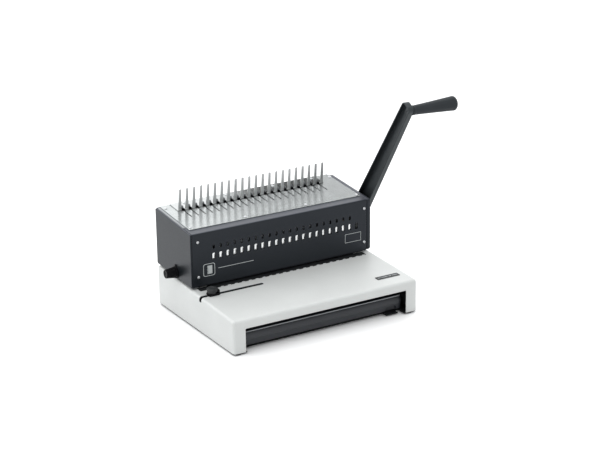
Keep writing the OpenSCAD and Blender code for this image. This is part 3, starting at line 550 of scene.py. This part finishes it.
def finish_cad_nodes():
    for finish, nodes in CAD_FINISH.items():
        for name in nodes:
            data = frame["nodes"][name].data
            data.materials.clear()
            data.materials.append(MATERIALS[finish])


# ---- Base ---------------------------------------------------------------------------------
BASE_EDGE = 5.0
BASE_SHEET = 1.6
BAY = (23.5, 355.7, 43.2)  # the drawer opening's left, right and top
SLOT_Y = -31.5
SLOT_W = 7.4  # 0.8 wider than the CAD's slot, to look as heavy as the real one
SLOT_END = 127.7
DIE = (34.0, 5.5, 344.0, 19.0)  # opening over the die: X and Y from corner to corner


def base_shell():
    """Folded wedge of sheet, open below, with the drawer bay, the guide's slot and the die's opening."""
    low, high = BASE_LO, BASE_HI
    bm = bmesh.new()
    corners = {}
    for x in (low.x, high.x):
        for y in (low.y, high.y):
            for z in (low.z, deck_z(y)):
                corners[x, y, z > 1] = bm.verts.new((x, y, z))
    x0, x1, y0, y1 = low.x, high.x, low.y, high.y
    loops = [[(x0, y0, 1), (x1, y0, 1), (x1, y1, 1), (x0, y1, 1)],
             [(x0, y0, 0), (x0, y1, 0), (x1, y1, 0), (x1, y0, 0)],
             [(x0, y0, 0), (x1, y0, 0), (x1, y0, 1), (x0, y0, 1)],
             [(x1, y0, 0), (x1, y1, 0), (x1, y1, 1), (x1, y0, 1)],
             [(x1, y1, 0), (x0, y1, 0), (x0, y1, 1), (x1, y1, 1)],
             [(x0, y1, 0), (x0, y0, 0), (x0, y0, 1), (x0, y1, 1)]]
    for loop in loops:
        bm.faces.new([corners[x, y, bool(z)] for x, y, z in loop])
    folded = [e for e in bm.edges if not all(v.co.z < 1 for v in e.verts)]
    bmesh.ops.bevel(bm, geom=folded, offset=BASE_EDGE, segments=8, profile=0.5, affect="EDGES")
    underside = [f for f in bm.faces if all(v.co.z < low.z + 0.01 for v in f.verts)]
    bmesh.ops.delete(bm, geom=underside, context="FACES")
    bmesh.ops.recalc_face_normals(bm, faces=bm.faces)
    mesh = bpy.data.meshes.new("base")
    bm.to_mesh(mesh)
    bm.free()
    mesh.materials.append(MATERIALS["base_paint"])
    # the inside faces take the dark inside colour, which in part paints the shade inside the base
    mesh.materials.append(MATERIALS["inner_primer_and_shade"])
    shell = temporary(mesh)
    sheet = shell.modifiers.new("sheet", "SOLIDIFY")
    sheet.material_offset = 1
    sheet.thickness = BASE_SHEET
    sheet.offset = -1
    sheet.use_even_offset = True
    mesh = evaluated(shell)
    bay = moved(slab(rounded(box_points(BAY[0], -10, BAY[1], BAY[2]), [0, 0, 1.5, 1.5]), -4, 8, 0),
                Matrix.Translation((0, low.y, 0)) @ UPRIGHT)
    radius = SLOT_W / 2
    slot = rounded(box_points(-12, -radius, SLOT_END, radius), [0, radius - 0.01, radius - 0.01, 0])
    slot = moved(slab(slot, -9, 8, 0), on_deck(SLOT_Y))
    die = slab(box_points(*DIE), 40, 90, 0)
    for face in slot.polygons:
        face.material_index = 1  # painted shade: the slot's walls take the dark inside colour, so the slot looks shaded
    tools = joined(bay, slot, die)
    for material in mesh.materials:
        tools.materials.append(material)
    return combined(mesh, tools, "DIFFERENCE")


def edge_softened(mesh, width, angle=50, segments=2):
    obj = temporary(mesh)
    soft = obj.modifiers.new("soft edges", "BEVEL")
    soft.width = width
    soft.segments = segments
    soft.limit_method = "ANGLE"
    soft.angle_limit = math.radians(angle)
    soft.use_clamp_overlap = True
    return evaluated(obj)


def foot_mesh():
    low = span("rubber_feet")[0]
    top = -1.2 - low.z
    profile = ([(2.1, 1.2), (5.0, 1.2), (5.0, 0.3)] + arc_points((7.6, 0.9), 0.9, 270, 360, 4) +
               [(8.9, top - 0.3), (8.7, top), (2.1, top)])
    return turned(profile + profile[:1], 48), low.z


def feet():
    mesh, floor = foot_mesh()
    parts = []
    for solid in islands("rubber_feet"):
        x = (min(p.x for p in solid) + max(p.x for p in solid)) / 2
        y = (min(p.y for p in solid) + max(p.y for p in solid)) / 2
        parts.append(moved(mesh.copy(), Matrix.Translation((x, y, floor))))
    return welded(joined(*parts))


# ---- Drawer -------------------------------------------------------------------------------
def drawer_front():
    """Bull-nosed front whose nose runs back at both ends, with a finger notch at the lower right."""
    low, high = span("drawer_front")
    depth = high.y - low.y
    top = high.z - low.z
    nose = [Vector(at) for at in ((depth, 0), (5.0, 0), (2.6, 1.4), (0.5, 12.2), (0.0, 13.0), (0.9, 20.5),
                                  (4.2, top - 2.3), (2.4, top - 1.6), (2.2, top), (depth, top))]
    profile = rounded(nose, [0, 1.0, 2.5, 0.7, 0.7, 9, 0.4, 0.3, 0.7, 0], 5)
    end = 6.0
    stops = [end * (1 - math.cos(math.radians(a))) for a in range(0, 91, 10)]
    places = [low.x + s for s in stops] + [high.x - s for s in reversed(stops)]
    bm = bmesh.new()
    rings = []
    for x in places:
        near = min(x - low.x, high.x - x)
        back = end - math.sqrt(max(0.0, end ** 2 - (end - min(near, end)) ** 2))
        rings.append([bm.verts.new((x, low.y + min(p.x + back * 0.85, depth), low.z + p.y)) for p in profile])
    count = len(profile)
    for a, b in zip(rings, rings[1:]):
        for k in range(count):
            bm.faces.new((a[k], a[(k + 1) % count], b[(k + 1) % count], b[k]))
    bm.faces.new(rings[0])
    bm.faces.new(rings[-1])
    bmesh.ops.recalc_face_normals(bm, faces=bm.faces)
    mesh = bpy.data.meshes.new("drawer")
    bm.to_mesh(mesh)
    bm.free()
    notch = block((BAY[1] - 37, low.y - 8, -8), (BAY[1] - 12, low.y + 8, 13), 3.5, 4)
    mesh = cut(welded(mesh), notch)
    mesh.materials.clear()
    mesh.materials.append(MATERIALS["drawer_plastic"])
    mesh.materials.append(MATERIALS["drawer_lip_highlight"])
    # painted highlight: faces along the top edge of the nose take the lighter plastic, standing in for the
    # thin bright line of light there
    lip_height, lip_depth = 1.75, 4.5
    for face in mesh.polygons:
        if face.center.z > high.z - lip_height and face.center.y < low.y + lip_depth:
            face.material_index = 1
    return mesh


# ---- Things on the base top ---------------------------------------------------------------
def entry_strip():
    low, high = span("entry_strip")
    strip = block((low.x, -9, 0.02), (high.x, DIE[1] - 0.3, 0.6), 0.15)
    dashes = []
    for k in range(24):
        x = low.x + 12 + k * PITCH
        notch = box_points(x, -12, min(x + 6.5, high.x - 1), -6.4)
        dashes.append(slab(rounded(notch, [0, 0, 0.8, 0.8], 4), -1, 2, 0))
    return cut(strip, *dashes)


def guide_block():
    low, high = span("edge_guide")
    middle = machine(joint("clamp_turn")["pos_m"]).x
    foot = slab(rounded(box_points(low.x, -7.5, high.x, 7.5), [2.5] * 4), 0.1, 3.7, 0.5)
    fence = rounded(box_points(-5.5, 1, 5.5, 9.5), [0.8, 0.8, 2, 2])
    wall = moved(slab(fence, high.x - 3.3, high.x, 0.4), SIDEWAYS)
    key = block((middle - 4.4, -2.9, -1.5), (middle + 4.4, 2.9, 1), 0.2)
    return cut(fused(foot, wall, key), moved(turned([(0, -8), (2.6, -8), (2.6, 9), (0, 9)], 32),
                                            Matrix.Translation((middle, 0, 0))))


def clamp_knob():
    ribs = 30

    def knurl(angle, height):
        return 1 + (0.028 * math.cos(ribs * angle) if 7.5 < height < 12.6 else 0)

    profile = [(0, -6), (2.3, -6), (2.5, -5.8), (2.5, 3.9), (7.0, 3.9), (7.4, 4.3), (7.4, 6.6), (8.9, 7.1),
               (9.3, 7.6), (9.3, 12.2)]
    profile += arc_points((8.6, 12.4), 0.8, 0, 90, 4) + [(6.3, 13.2), (5.7, 12.9), (5.4, 12.3), (0, 12.2)]
    return turned(profile, 240, knurl)


# ---- Case ---------------------------------------------------------------------------------
def side_outline(node, radii):
    """Outline of a side of the case in Y and Z, from the CAD node's own box: its foot follows the deck
    and its head the roof."""
    low, high = span(node)
    depth = high.y - low.y
    head = high.z - depth * math.tan(ROOF_ANGLE)
    foot = low.z + depth * math.tan(DECK_ANGLE)
    points = [Vector((low.y, low.z)), Vector((low.y, head)), Vector((high.y, high.z)), Vector((high.y, foot))]
    return rounded(points, radii)


def left_panel():
    low, high = span("left_side_panel")
    outline = side_outline("left_side_panel", [3, 3, 3, 3])
    hole = circle(KNOB.y, KNOB.z, 4.4)
    return moved(slab(outline, low.x, high.x, 1.1, [hole], 3), SIDEWAYS)


def right_cover():
    low, high = span("right_cover")
    outline = side_outline("right_cover", [6, 6, 6, 6])
    solid = slab(outline, low.x, high.x, 2.0, (), 4)
    middle = Vector(((low.y + high.y) / 2, (low.z + high.z) / 2))
    inner = [middle + Vector(((p.x - middle.x) * 0.966, (p.y - middle.y) * 0.956)) for p in outline]
    cavity = slab(inner, low.x - 3, high.x - 2, 0.8)
    bore = slab(circle(SHAFT.y, SHAFT.z, 8), low.x - 5, high.x + 5, 0)
    seats = []
    for screw in islands("cover_screws"):
        y = (min(p.y for p in screw) + max(p.y for p in screw)) / 2
        z = (min(p.z for p in screw) + max(p.z for p in screw)) / 2
        seats.append(slab(circle(y, z, 3.65), high.x - 1, high.x + 5, 0))
    return moved(cut(solid, cavity, bore, *seats), SIDEWAYS)


def punch_pins():
    """Ground pins, each with a bright tab that hangs close behind its opening in the front panel.
    The CAD pins have no tab."""
    tab = rounded([Vector((2.3, 119)), Vector((3.3, 119)), Vector((3.3, 130.5)), Vector((10.6, 130.5)),
                   Vector((10.6, 134)), Vector((2.3, 134))], [0.3, 0.3, 0.8, 0, 0, 1.8], 4)
    parts = []
    for solid in islands("punch_pins"):
        low = Vector([min(p[axis] for p in solid) for axis in range(3)])
        high = Vector([max(p[axis] for p in solid) for axis in range(3)])
        middle = (low.x + high.x) / 2
        parts.append(block(low, high, 0.3))
        parts.append(moved(slab(tab, middle - 2.3, middle + 2.3, 0.25), SIDEWAYS))
    return joined(*parts)


def tine_plate():
    """Slotted foot plate with its row of tapered, round-tipped tines, a little broader than the CAD's."""
    low, high = span("tine_plate")
    count = 22
    first = low.x + 4
    y0, y1 = 100.5, 134.3
    window = 4.0  # half the width of the opening that each hook stands in
    middles = [first + (i + 0.5) * PITCH for i in range(count - 1)]
    holes = [rounded(box_points(x - window, 96, x + window, 111.5), [0, 0, 1.2, 1.2], 4) for x in middles]
    plate = slab(box_points(low.x, y0, high.x, y1), 1.5, 3.0, 0.15)
    plate = cut(plate, *[slab(h, 0, 5, 0) for h in holes])
    height = 44
    half_foot, half_tip = 3.2, 2.3
    right = [Vector((half_foot + 0.9, 1.6)), Vector((half_foot, 4.5)), Vector((half_tip, height))]
    left = [Vector((-p.x, p.y)) for p in reversed(right)]
    outline = rounded(right + left, [0, 3, 1.8, 1.8, 3, 0], 6)
    tine = moved(slab(outline, -1, 1, 0.35, (), 3), UPRIGHT)
    tines = [moved(tine.copy(), Matrix.Translation((first + i * PITCH, y0 + 1, 0))) for i in range(count)]
    for mesh in tines:
        for face in mesh.polygons:
            face.material_index = 1
    mesh = joined(plate, *tines)
    mesh.materials.append(MATERIALS["tine_steel"])
    mesh.materials.append(MATERIALS["tine_faces"])
    return mesh


# ---- Screws -------------------------------------------------------------------------------
def screw_head(radius=2.8, height=1.5):
    """Domed head with a cross recess, seat at Z = 0, and a short shank below."""
    dome = arc_points((radius - 1.0, height - 0.75), 0.75, 10, 80, 3)
    profile = [(0, -3), (1.9, -3), (1.9, 0), (radius - 0.1, 0), (radius, 0.25)] + dome
    profile += [(radius * 0.4, height + 0.12), (0, height + 0.15)]
    recess = [block((-0.35, -1.55, height - 0.75), (0.35, 1.55, height + 2), 0),
              block((-1.55, -0.35, height - 0.75), (1.55, 0.35, height + 2), 0)]
    body = turned(profile, 32)
    return cut(cut(body, recess[0]), recess[1])


def screws(node, out, height=1.5):
    """A domed screw at each solid of the CAD node; out is the direction its head faces."""
    out = Vector(out).normalized()
    side = Vector((1, 0, 0)) if abs(out.x) < 0.9 else Vector((0, 1, 0))
    other = out.cross(side)
    template = screw_head(height=height)
    parts = []
    for k, solid in enumerate(islands(node)):
        def middle(axis):
            return (min(p.dot(axis) for p in solid) + max(p.dot(axis) for p in solid)) / 2
        seat = max(p.dot(out) for p in solid) - height
        at = side * middle(side) + other * middle(other) + out * seat
        turn = Matrix.Rotation(math.radians(37 * k + 20), 4, "Z")
        face = out.to_track_quat("Z", "Y").to_matrix().to_4x4()
        parts.append(moved(template.copy(), Matrix.Translation(at) @ face @ turn))
    return joined(*parts)


# ---- Knob on the left ---------------------------------------------------------------------
def margin_knob():
    low = span("margin_knob")[0]
    flutes = 12
    length = -low.x - 2.7

    def fluted(angle, height):
        if not 1.2 < height < length - 2.0:
            return 1
        return 1 - 0.085 * max(0.0, math.cos(flutes * angle)) ** 1.5

    profile = [(0, 1.0), (5.6, 0.9), (6.0, 0.35), (7.3, 0.2)] + arc_points((7.3, 0.9), 0.7, 270, 350, 4)
    steps = 8
    profile += [(8.1 + 1.9 * k / steps, 1.4 + (length - 3.6) * k / steps) for k in range(steps + 1)]
    profile += [(10, length - 1.6), (10, length - 0.3), (9.7, length), (4.2, length), (4.2, length - 4),
                (0, length - 4)]
    knob = turned(profile, 192, fluted)
    pointer = block((-0.5, 0, 0.15), (0.5, 7.0, 0.75), 0.1)
    return fused(knob, pointer), low.x


def knob_collar():
    high = span("knob_collar")[1]
    ring = [(4.6, 0), (11.0, 0), (11.5, 0.5), (11.5, 1.8)] + arc_points((10.8, 1.8), 0.7, 0, 90, 3)
    ring += [(4.6, 2.55), (4.6, 0)]
    collar = welded(turned(ring, 96))
    lug = block((-1.8, 9.5, 0.05), (1.8, 14.4, 2.2), 0.5, 3)
    return fused(collar, lug), high.x


# ---- Lever --------------------------------------------------------------------------------
def lever_arm():
    """Channel folded from sheet, open towards the case, with a hub at the shaft and a boss at the grip."""
    low, high = span("lever_arm")
    wall, web = 2.2, 2.4
    top = LEVER_LEN + 10
    bottom = -19
    x0, x1 = low.x, high.x

    def outline(less):
        w0, w1 = 19.5 - less, 12.5 - less
        corners = [Vector((1 - w0, bottom + less)), Vector((1 + w0, bottom + less)),
                   Vector((5 + w1, top - less)), Vector((5 - w1, top - less))]
        return rounded(corners, [17 - less, 17 - less, 9 - less, 9 - less], 12)

    outer, inner = outline(0), outline(wall)
    channel = cut(slab(outer, x0, x1, 1.0, (), 3), slab(inner, x0 - 5, x1 - web, 0.8))
    hub = slab(circle(0, 0, 11, 64), x0 + 0.5, x1 - web + 0.2, 0.4)
    boss = slab(circle(0, LEVER_LEN, 6.5, 48), x1 - 6, x1 - web + 0.2, 0.4)
    bores = [slab(circle(0, 0, 7.02, 48), x0 - 2, x1 - 2.5, 0), slab(circle(0, 0, 3.1, 32), x0, x1 + 2, 0),
             slab(circle(0, LEVER_LEN, 4.02, 32), x0, x1 + 2, 0)]
    return moved(cut(fused(channel, hub, boss), *bores), SIDEWAYS)


def lever_bolt():
    low, high = span("lever_bolt")
    head = high.x
    washer = slab(circle(0, 0, 8, 48), head - 5.0, head - 3.8, 0.25)
    nut = slab(circle(0, 0, 6.6, 6), head - 4.0, head, 0.6)
    dish = slab(circle(0, 0, 3, 32), head - 0.8, head + 2, 0)
    shank = slab(circle(0, 0, 3, 32), low.x, head - 3.5, 0)
    return moved(cut(fused(washer, nut, shank), dish), SIDEWAYS)


def grip_collar():
    low, high = span("grip_collar")
    length = high.x - low.x
    ring = [(4.1, 0), (8.4, 0), (9.0, 0.5), (9.0, length - 0.5), (8.5, length), (4.1, length), (4.1, 0)]
    return welded(turned(ring, 64)), low.x


def grip_bolt():
    low, high = span("grip_bolt")
    length = high.x - low.x
    profile = [(0, 1.0), (1.8, 1.0), (2.1, 0.1), (4.6, 0.1)] + arc_points((4.6, 0.7), 0.6, 270, 360, 4)
    profile += [(5.2, 2.2), (4.0, 2.3), (4.0, length - 0.4), (3.6, length), (0, length)]
    return turned(profile, 48), low.x


def hand_grip():
    """Tapered grip with soft facets, a small lip where it starts and a rounded end."""
    low, high = span("hand_grip")
    length = high.x - low.x
    r0, r1 = 9.0, 13.5
    facets = 10

    def faceted(angle, height):
        fade = min(1, max(0, (height - 4) / 10)) * min(1, max(0, (length - 5 - height) / 6))
        return 1 - 0.022 * fade * (1 - abs(math.cos(facets * angle / 2)) ** 0.6)

    lip = 3.0
    bore = 4.2
    profile = [(0, length - 11), (bore, length - 11), (bore, 0), (r0 - 0.9, 0)]
    profile += arc_points((r0 - 0.9, 0.9), 0.9, 270, 360, 4) + [(r0, lip), (r0 - 0.35, lip + 0.5)]
    steps = 30
    for k in range(1, steps + 1):
        t = k / steps
        swell = t ** 1.08
        profile.append((r0 - 0.3 + (r1 - r0 + 0.3) * swell, lip + 0.5 + (length - 6 - lip) * t))
    profile += arc_points((r1 - 5.0, length - 5.5), 5.0, 0, 84, 8)[1:]
    profile += [(4, length - 0.2), (0, length)]
    return turned(profile, 160, faceted), low.x


# ---- Base label ---------------------------------------------------------------------------
def base_label():
    low, high = span("base_label_plate")
    return slab(rounded(box_points(low.x, -5.8, high.x, 5.8), [1] * 4), 0.02, 0.8, 0.2)


def label_lines():
    """Plain bars printed on the base label: no lettering."""
    low = span("base_label_plate")[0]
    bars = [(3, 9), (11, 24), (26, 32), (34, 45)]
    return joined(*[slab(rounded(box_points(low.x + a, -0.7, low.x + b, 0.7), [0.3] * 4, 3), 0.78, 0.88, 0.03)
                    for a, b in bars])


# ---- Assembly -----------------------------------------------------------------------------
def build():
    m = MATERIALS
    shell = edge_softened(base_shell(), 0.35)
    piece("base_shell_folded", shell, "machine", None, ["base_shell"])
    piece("rubber_feet_moulded", feet(), "machine", m["rubber"], ["rubber_feet"])
    piece("drawer_front_moulded", drawer_front(), "drawer", None, ["drawer_front"],
          smooth=60)
    piece("entry_strip_dashed", entry_strip(), "machine", m["dark_sheet"], ["entry_strip"],
          on_deck(0))
    label_y = sum(c.y for c in span("base_label_plate")) / 2
    piece("base_label", base_label(), "machine", m["label_plastic"], ["base_label_plate"],
          on_deck(label_y))
    piece("base_label_bars", label_lines(), "machine", m["mark_print"], [], on_deck(label_y))
    piece("edge_guide_block", guide_block(), "guide", m["black_plastic"], ["edge_guide"],
          on_deck(SLOT_Y))
    clamp = machine(joint("clamp_turn")["pos_m"])
    at_clamp = on_deck(SLOT_Y) @ Matrix.Translation((clamp.x, 0, 0))
    piece("thumb_knob_knurled", clamp_knob(), "clamp_knob", m["knob_plastic"], ["thumb_knob"],
          at_clamp)

    piece("left_panel_rounded", left_panel(), "machine", m["case_paint"], ["left_side_panel"])
    piece("right_cover_pressed", right_cover(), "machine", m["case_paint"], ["right_cover"])
    piece("punch_pins_tabbed", punch_pins(), "punch", m["bright_steel"], ["punch_pins"])
    piece("tine_plate_rounded", tine_plate(), "machine", None, ["tine_plate"], ON_ROOF)
    roof_out = (0, -math.sin(ROOF_ANGLE), math.cos(ROOF_ANGLE))
    for node, out, height in (("top_plate_screws", roof_out, 1.5), ("tine_plate_screws", roof_out, 1.5),
                              ("front_panel_screws", (0, -1, 0), 1.5), ("rear_screws", (0, 1, 0), 1.5),
                              ("cover_screws", (1, 0, 0), 0.9)):
        piece(node + "_domed", screws(node, out, height), "machine", m["screw_steel"], [node])

    knob, x = margin_knob()
    at_knob = Matrix.Translation((x, KNOB.y, KNOB.z)) @ ALONG_X
    piece("margin_knob_fluted", knob, "margin", m["black_plastic"], ["margin_knob"],
          at_knob, 50)
    collar, x = knob_collar()
    at_collar = Matrix.Translation((x, KNOB.y, KNOB.z)) @ Matrix.Rotation(math.radians(-90), 4, "Y")
    at_collar = at_collar @ Matrix.Rotation(math.radians(-90), 4, "Z")
    piece("knob_collar_lugged", collar, "machine", m["black_plastic"], ["knob_collar"],
          at_collar)

    arm = edge_softened(lever_arm(), 0.3)
    piece("lever_arm_channel", arm, "lever", m["lever_paint"], ["lever_arm"], ON_LEVER)
    piece("lever_bolt_hex", lever_bolt(), "lever", m["screw_steel"], ["lever_bolt"], ON_LEVER)
    for name, maker, body, material, node, slot in (
            ("grip_collar_turned", grip_collar, "lever", "lever_paint", "grip_collar", "grip_plastic"),
            ("grip_bolt_turned", grip_bolt, "lever", "lever_paint", "grip_bolt", "screw_steel"),
            ("hand_grip_faceted", hand_grip, "grip", "grip_plastic", "hand_grip", "grip_plastic")):
        mesh, x = maker()
        matrix = ON_LEVER @ Matrix.Translation((x, 0, LEVER_LEN)) @ ALONG_X
        piece(name, mesh, body, m[material], [node], matrix, 50)


# ---- Stage --------------------------------------------------------------------------------
def studio_world():
    """White surroundings, brighter behind and above the machine, with one narrow dark flag that the
    polished tine plate mirrors on its right half."""
    world = bpy.data.worlds.new("studio")
    world.use_nodes = True
    tree = world.node_tree
    background = tree.nodes["Background"]

    def node(kind, **settings):
        made = tree.nodes.new(kind)
        for key, value in settings.items():
            setattr(made, key, value)
        return made

    def math_node(operation, a, b):
        made = node("ShaderNodeMath", operation=operation)
        for socket, value in zip(made.inputs, (a, b)):
            if hasattr(value, "is_output"):
                tree.links.new(value, socket)
            else:
                socket.default_value = value
        return made.outputs[0]

    def soft_step(value, low, high):
        made = node("ShaderNodeMapRange", interpolation_type="SMOOTHSTEP")
        made.inputs["From Min"].default_value = low
        made.inputs["From Max"].default_value = high
        tree.links.new(value, made.inputs["Value"])
        return made.outputs["Result"]

    axes = node("ShaderNodeSeparateXYZ")
    tree.links.new(node("ShaderNodeTexCoord").outputs["Generated"], axes.inputs[0])
    azimuth = math_node("ARCTAN2", axes.outputs["X"], axes.outputs["Y"])
    elevation = math_node("ARCSINE", axes.outputs["Z"], 0.0)
    deg = math.radians
    flag = math_node("MULTIPLY", soft_step(azimuth, deg(30.1), deg(30.9)),
                     soft_step(azimuth, deg(44), deg(41)))
    flag = math_node("MULTIPLY", flag, soft_step(elevation, deg(23), deg(24.5)))
    flag = math_node("MULTIPLY", flag, soft_step(elevation, deg(34), deg(32.5)))
    back = soft_step(axes.outputs["Y"], -0.2, 0.6)
    level = math_node("ADD", math_node("MULTIPLY", back, 1.05), 1.22)
    level = math_node("ADD", level, math_node("MULTIPLY", soft_step(axes.outputs["Z"], 0.75, 0.95), 0.5))
    level = math_node("MULTIPLY", level, math_node("SUBTRACT", 1.0, math_node("MULTIPLY", flag, 0.96)))
    background.inputs["Color"].default_value = (0.985, 0.995, 1.0, 1)
    tree.links.new(level, background.inputs["Strength"])
    return world


def stage():
    size = 40.0
    mesh = bpy.data.meshes.new("floor")
    corners = [(-size, -size, 0), (size, -size, 0), (size, size, 0), (-size, size, 0)]
    mesh.from_pydata(corners, [], [(0, 1, 2, 3)])
    floor = bpy.data.objects.new("floor", mesh)
    bpy.context.scene.collection.objects.link(floor)
    floor.location.z = cad_box[0][2]
    s = Shader("floor")
    s.set("Base Color", (0.80, 0.80, 0.80, 1))
    s.set("Roughness", 0.6)
    s.set("Specular IOR Level", 0.1)
    mesh.materials.append(s.material)

    bpy.context.scene.world = studio_world()

    aim = Vector((0, 0, 0.12))
    at = Vector((-1.0, -0.7, 2.4))
    light = bpy.data.lights.new("key", "AREA")
    light.shape = "RECTANGLE"
    light.size, light.size_y = 1.4, 0.9
    light.energy = 16
    lamp = bpy.data.objects.new("key", light)
    lamp.location = at
    lamp.rotation_euler = (aim - at).to_track_quat("-Z", "Y").to_euler()
    bpy.context.scene.collection.objects.link(lamp)


def camera():
    """Long lens at the photograph's viewing angle."""
    focal_px = 1676.67
    yaw, pitch, roll = 0.53713, 0.33697, -0.01105
    at = Vector((-1247.93, -2471.95, 1156.44))
    data = bpy.data.cameras.new("camera")
    data.sensor_width = 36.0
    data.lens = focal_px * 36.0 / 600.0
    data.clip_end = 100.0
    obj = bpy.data.objects.new("camera", data)
    obj.location = ORIGIN + at * MM
    turn = Matrix.Rotation(-yaw, 4, "Z") @ Matrix.Rotation(math.pi / 2 - pitch, 4, "X")
    obj.rotation_euler = (turn @ Matrix.Rotation(roll, 4, "Z")).to_euler()
    bpy.context.scene.collection.objects.link(obj)
    bpy.context.scene.camera = obj
    bpy.context.scene.view_settings.view_transform = "Standard"


finish_cad_nodes()
build()
stage()
camera()
